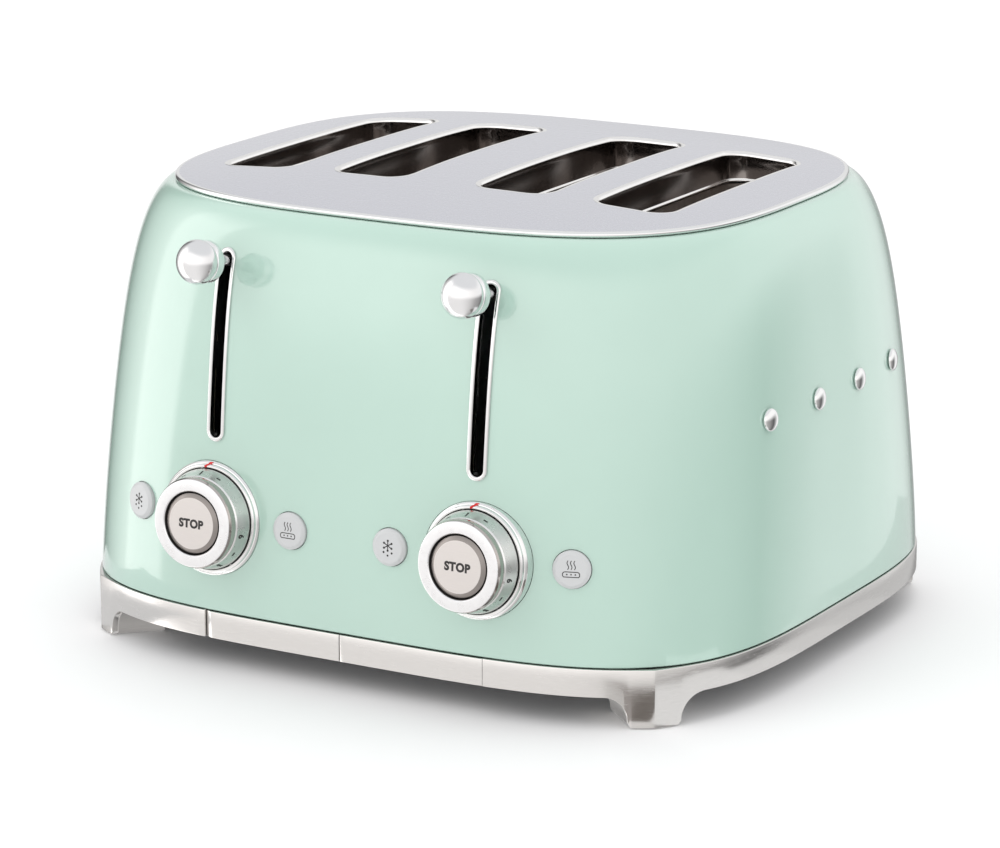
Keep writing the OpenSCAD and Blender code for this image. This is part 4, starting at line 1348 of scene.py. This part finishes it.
WARM = (1.02, 1.0, 0.985)
UP = [(-180, 1.45), (-150, 1.6), (-124, 1.2), (-121.5, 2.1), (-99, 2.0), (-95, 1.3), (-82, 0.7), (-72, 0.45), (-60, 0.15), (-52, 0.15),
      (-46, 0.7), (-38, 0.82), (-5, 0.84), (9, 0.95), (25, 1.1), (31, 1.1), (51, 1.1), (100, 1.1), (140, 1.25), (180, 1.45)]
DOWN = [(-180, 1.0), (-150, 1.0), (-124, 0.98), (-121.5, 2.15), (-99, 2.1), (-95, 1.3), (-82, 0.7), (-72, 0.4), (-60, 0.12), (-54, 0.12),
        (-47, 0.9), (-38, 0.95), (-25, 0.6), (-8, 0.25), (6, 0.9), (16, 1.05), (24, 1.0), (27, 0.8), (31, 0.6), (47, 0.12), (73, 0.35),
        (103, 0.45), (133, 0.72), (160, 0.93), (180, 1.0)]
up = wramp(bearing, [(deg(a), v / 4) for a, v in UP])
down = wramp(bearing, [(deg(a), v / 4) for a, v in DOWN])
mixf = wn_node("ShaderNodeMapRange", interpolation_type="SMOOTHSTEP")
mixf.inputs["From Min"].default_value = -0.14
mixf.inputs["From Max"].default_value = 0.16
wt.links.new(sep.outputs[2], mixf.inputs["Value"])
mx = wn_node("ShaderNodeMix", data_type="RGBA")
wt.links.new(mixf.outputs["Result"], mx.inputs["Factor"])
wt.links.new(down, mx.inputs["A"])
wt.links.new(up, mx.inputs["B"])
# overhead softbox
over = wn_node("ShaderNodeMapRange", interpolation_type="SMOOTHSTEP")
over.inputs["From Min"].default_value = 0.45
over.inputs["From Max"].default_value = 0.75
wt.links.new(sep.outputs[2], over.inputs["Value"])
mx2 = wn_node("ShaderNodeMix", data_type="RGBA")
wt.links.new(over.outputs["Result"], mx2.inputs["Factor"])
wt.links.new(mx.outputs["Result"], mx2.inputs["A"])
mx2.inputs["B"].default_value = (0.22, 0.222, 0.225, 1)
bg_gloss = wn_node("ShaderNodeBackground")
wt.links.new(mx2.outputs["Result"], bg_gloss.inputs["Color"])
bg_gloss.inputs["Strength"].default_value = 4.0
bg_soft = wn_node("ShaderNodeBackground")
bg_soft.inputs["Color"].default_value = (1, 1, 1, 1)
bg_soft.inputs["Strength"].default_value = 1.12
lp = wn_node("ShaderNodeLightPath")
ms = wn_node("ShaderNodeMixShader")
wt.links.new(lp.outputs["Is Glossy Ray"], ms.inputs["Fac"])
wt.links.new(bg_soft.outputs[0], ms.inputs[1])
wt.links.new(bg_gloss.outputs[0], ms.inputs[2])
wo = wn_node("ShaderNodeOutputWorld")
wt.links.new(ms.outputs[0], wo.inputs["Surface"])


def card(name, pts, color):
    """A sheet lying on the floor that only shows in reflections."""
    me = bpy.data.meshes.new(name)
    me.from_pydata([(x, y, 0.0003) for x, y in pts], [], [tuple(range(len(pts)))])
    o = bpy.data.objects.new(name, me)
    root_col.objects.link(o)
    m = bpy.data.materials.new(name)
    m.use_nodes = True
    b = m.node_tree.nodes["Principled BSDF"]
    b.inputs["Base Color"].default_value = (0, 0, 0, 1)
    b.inputs["Specular IOR Level"].default_value = 0
    b.inputs["Emission Color"].default_value = (*color, 1)
    b.inputs["Emission Strength"].default_value = 1.0
    me.materials.append(m)
    for k in ("camera", "diffuse", "transmission", "volume_scatter", "shadow"):
        setattr(o, "visible_" + k, False)
    return o


def fan(p, q, b0, b1, reach=0.11):
    """Sheet between two points on the ring, reaching out along bearings b0 and b1."""
    out = [p, q]
    for c, b in ((q, b1), (p, b0)):
        b = math.radians(b)
        out.append((c[0] + reach * math.sin(b), c[1] + reach * math.cos(b)))
    return out


card("card_dark", fan((0.1425, -0.1275), (0.1355, -0.1315), 120, 149.5), (0.20, 0.18, 0.165))
card("card_brown", fan((0.1355, -0.1315), (0.1305, -0.1345), 149.5, 153), (0.40, 0.37, 0.355))
card("card_mid", fan((0.1305, -0.1345), (0.1250, -0.1370), 153, 157), (0.66, 0.645, 0.63))
RIGHT_Y = [-0.1262, -0.06, -0.01, 0.04, 0.09, 0.30]
for i, g in enumerate((0.94, 0.87, 0.79, 0.73, 0.67)):
    y0, y1 = RIGHT_Y[i], RIGHT_Y[i + 1]
    card(f"card_right_{i}", [(0.143 if i == 0 else 0.168, y0), (0.28 if i == 0 else 0.218, y0 - 0.050 * (i == 0)), (0.28 if i == 0 else 0.218, y1), (0.168, y1)], (g, g, g))
card("card_left", [(-0.120, -0.1365), (-0.1415, -0.1275), (-0.160, -0.100), (-0.168, -0.04), (-0.27, -0.04), (-0.26, -0.20), (-0.16, -0.24)], (0.80, 0.80, 0.805))


def area(name, loc, size, power, target=(0, 0, 0.1), glossy=False):
    d = bpy.data.lights.new(name, "AREA")
    d.shape = "RECTANGLE"
    d.size, d.size_y = size
    d.energy = power
    o = bpy.data.objects.new(name, d)
    root_col.objects.link(o)
    o.location = loc
    o.rotation_mode = "QUATERNION"
    o.rotation_quaternion = (Vector(target) - Vector(loc)).to_track_quat("-Z", "Y")
    o.visible_glossy = glossy
    o.visible_camera = False
    return o


area("key", (-1.4, -1.8, 1.9), (1.4, 1.4), 9)
area("top", (0.2, 0.5, 2.2), (1.8, 1.8), 7)

scene.view_settings.view_transform = "Standard"
scene.view_settings.look = "None"
scene.view_settings.exposure = 0.0
scene.view_settings.gamma = 1.0
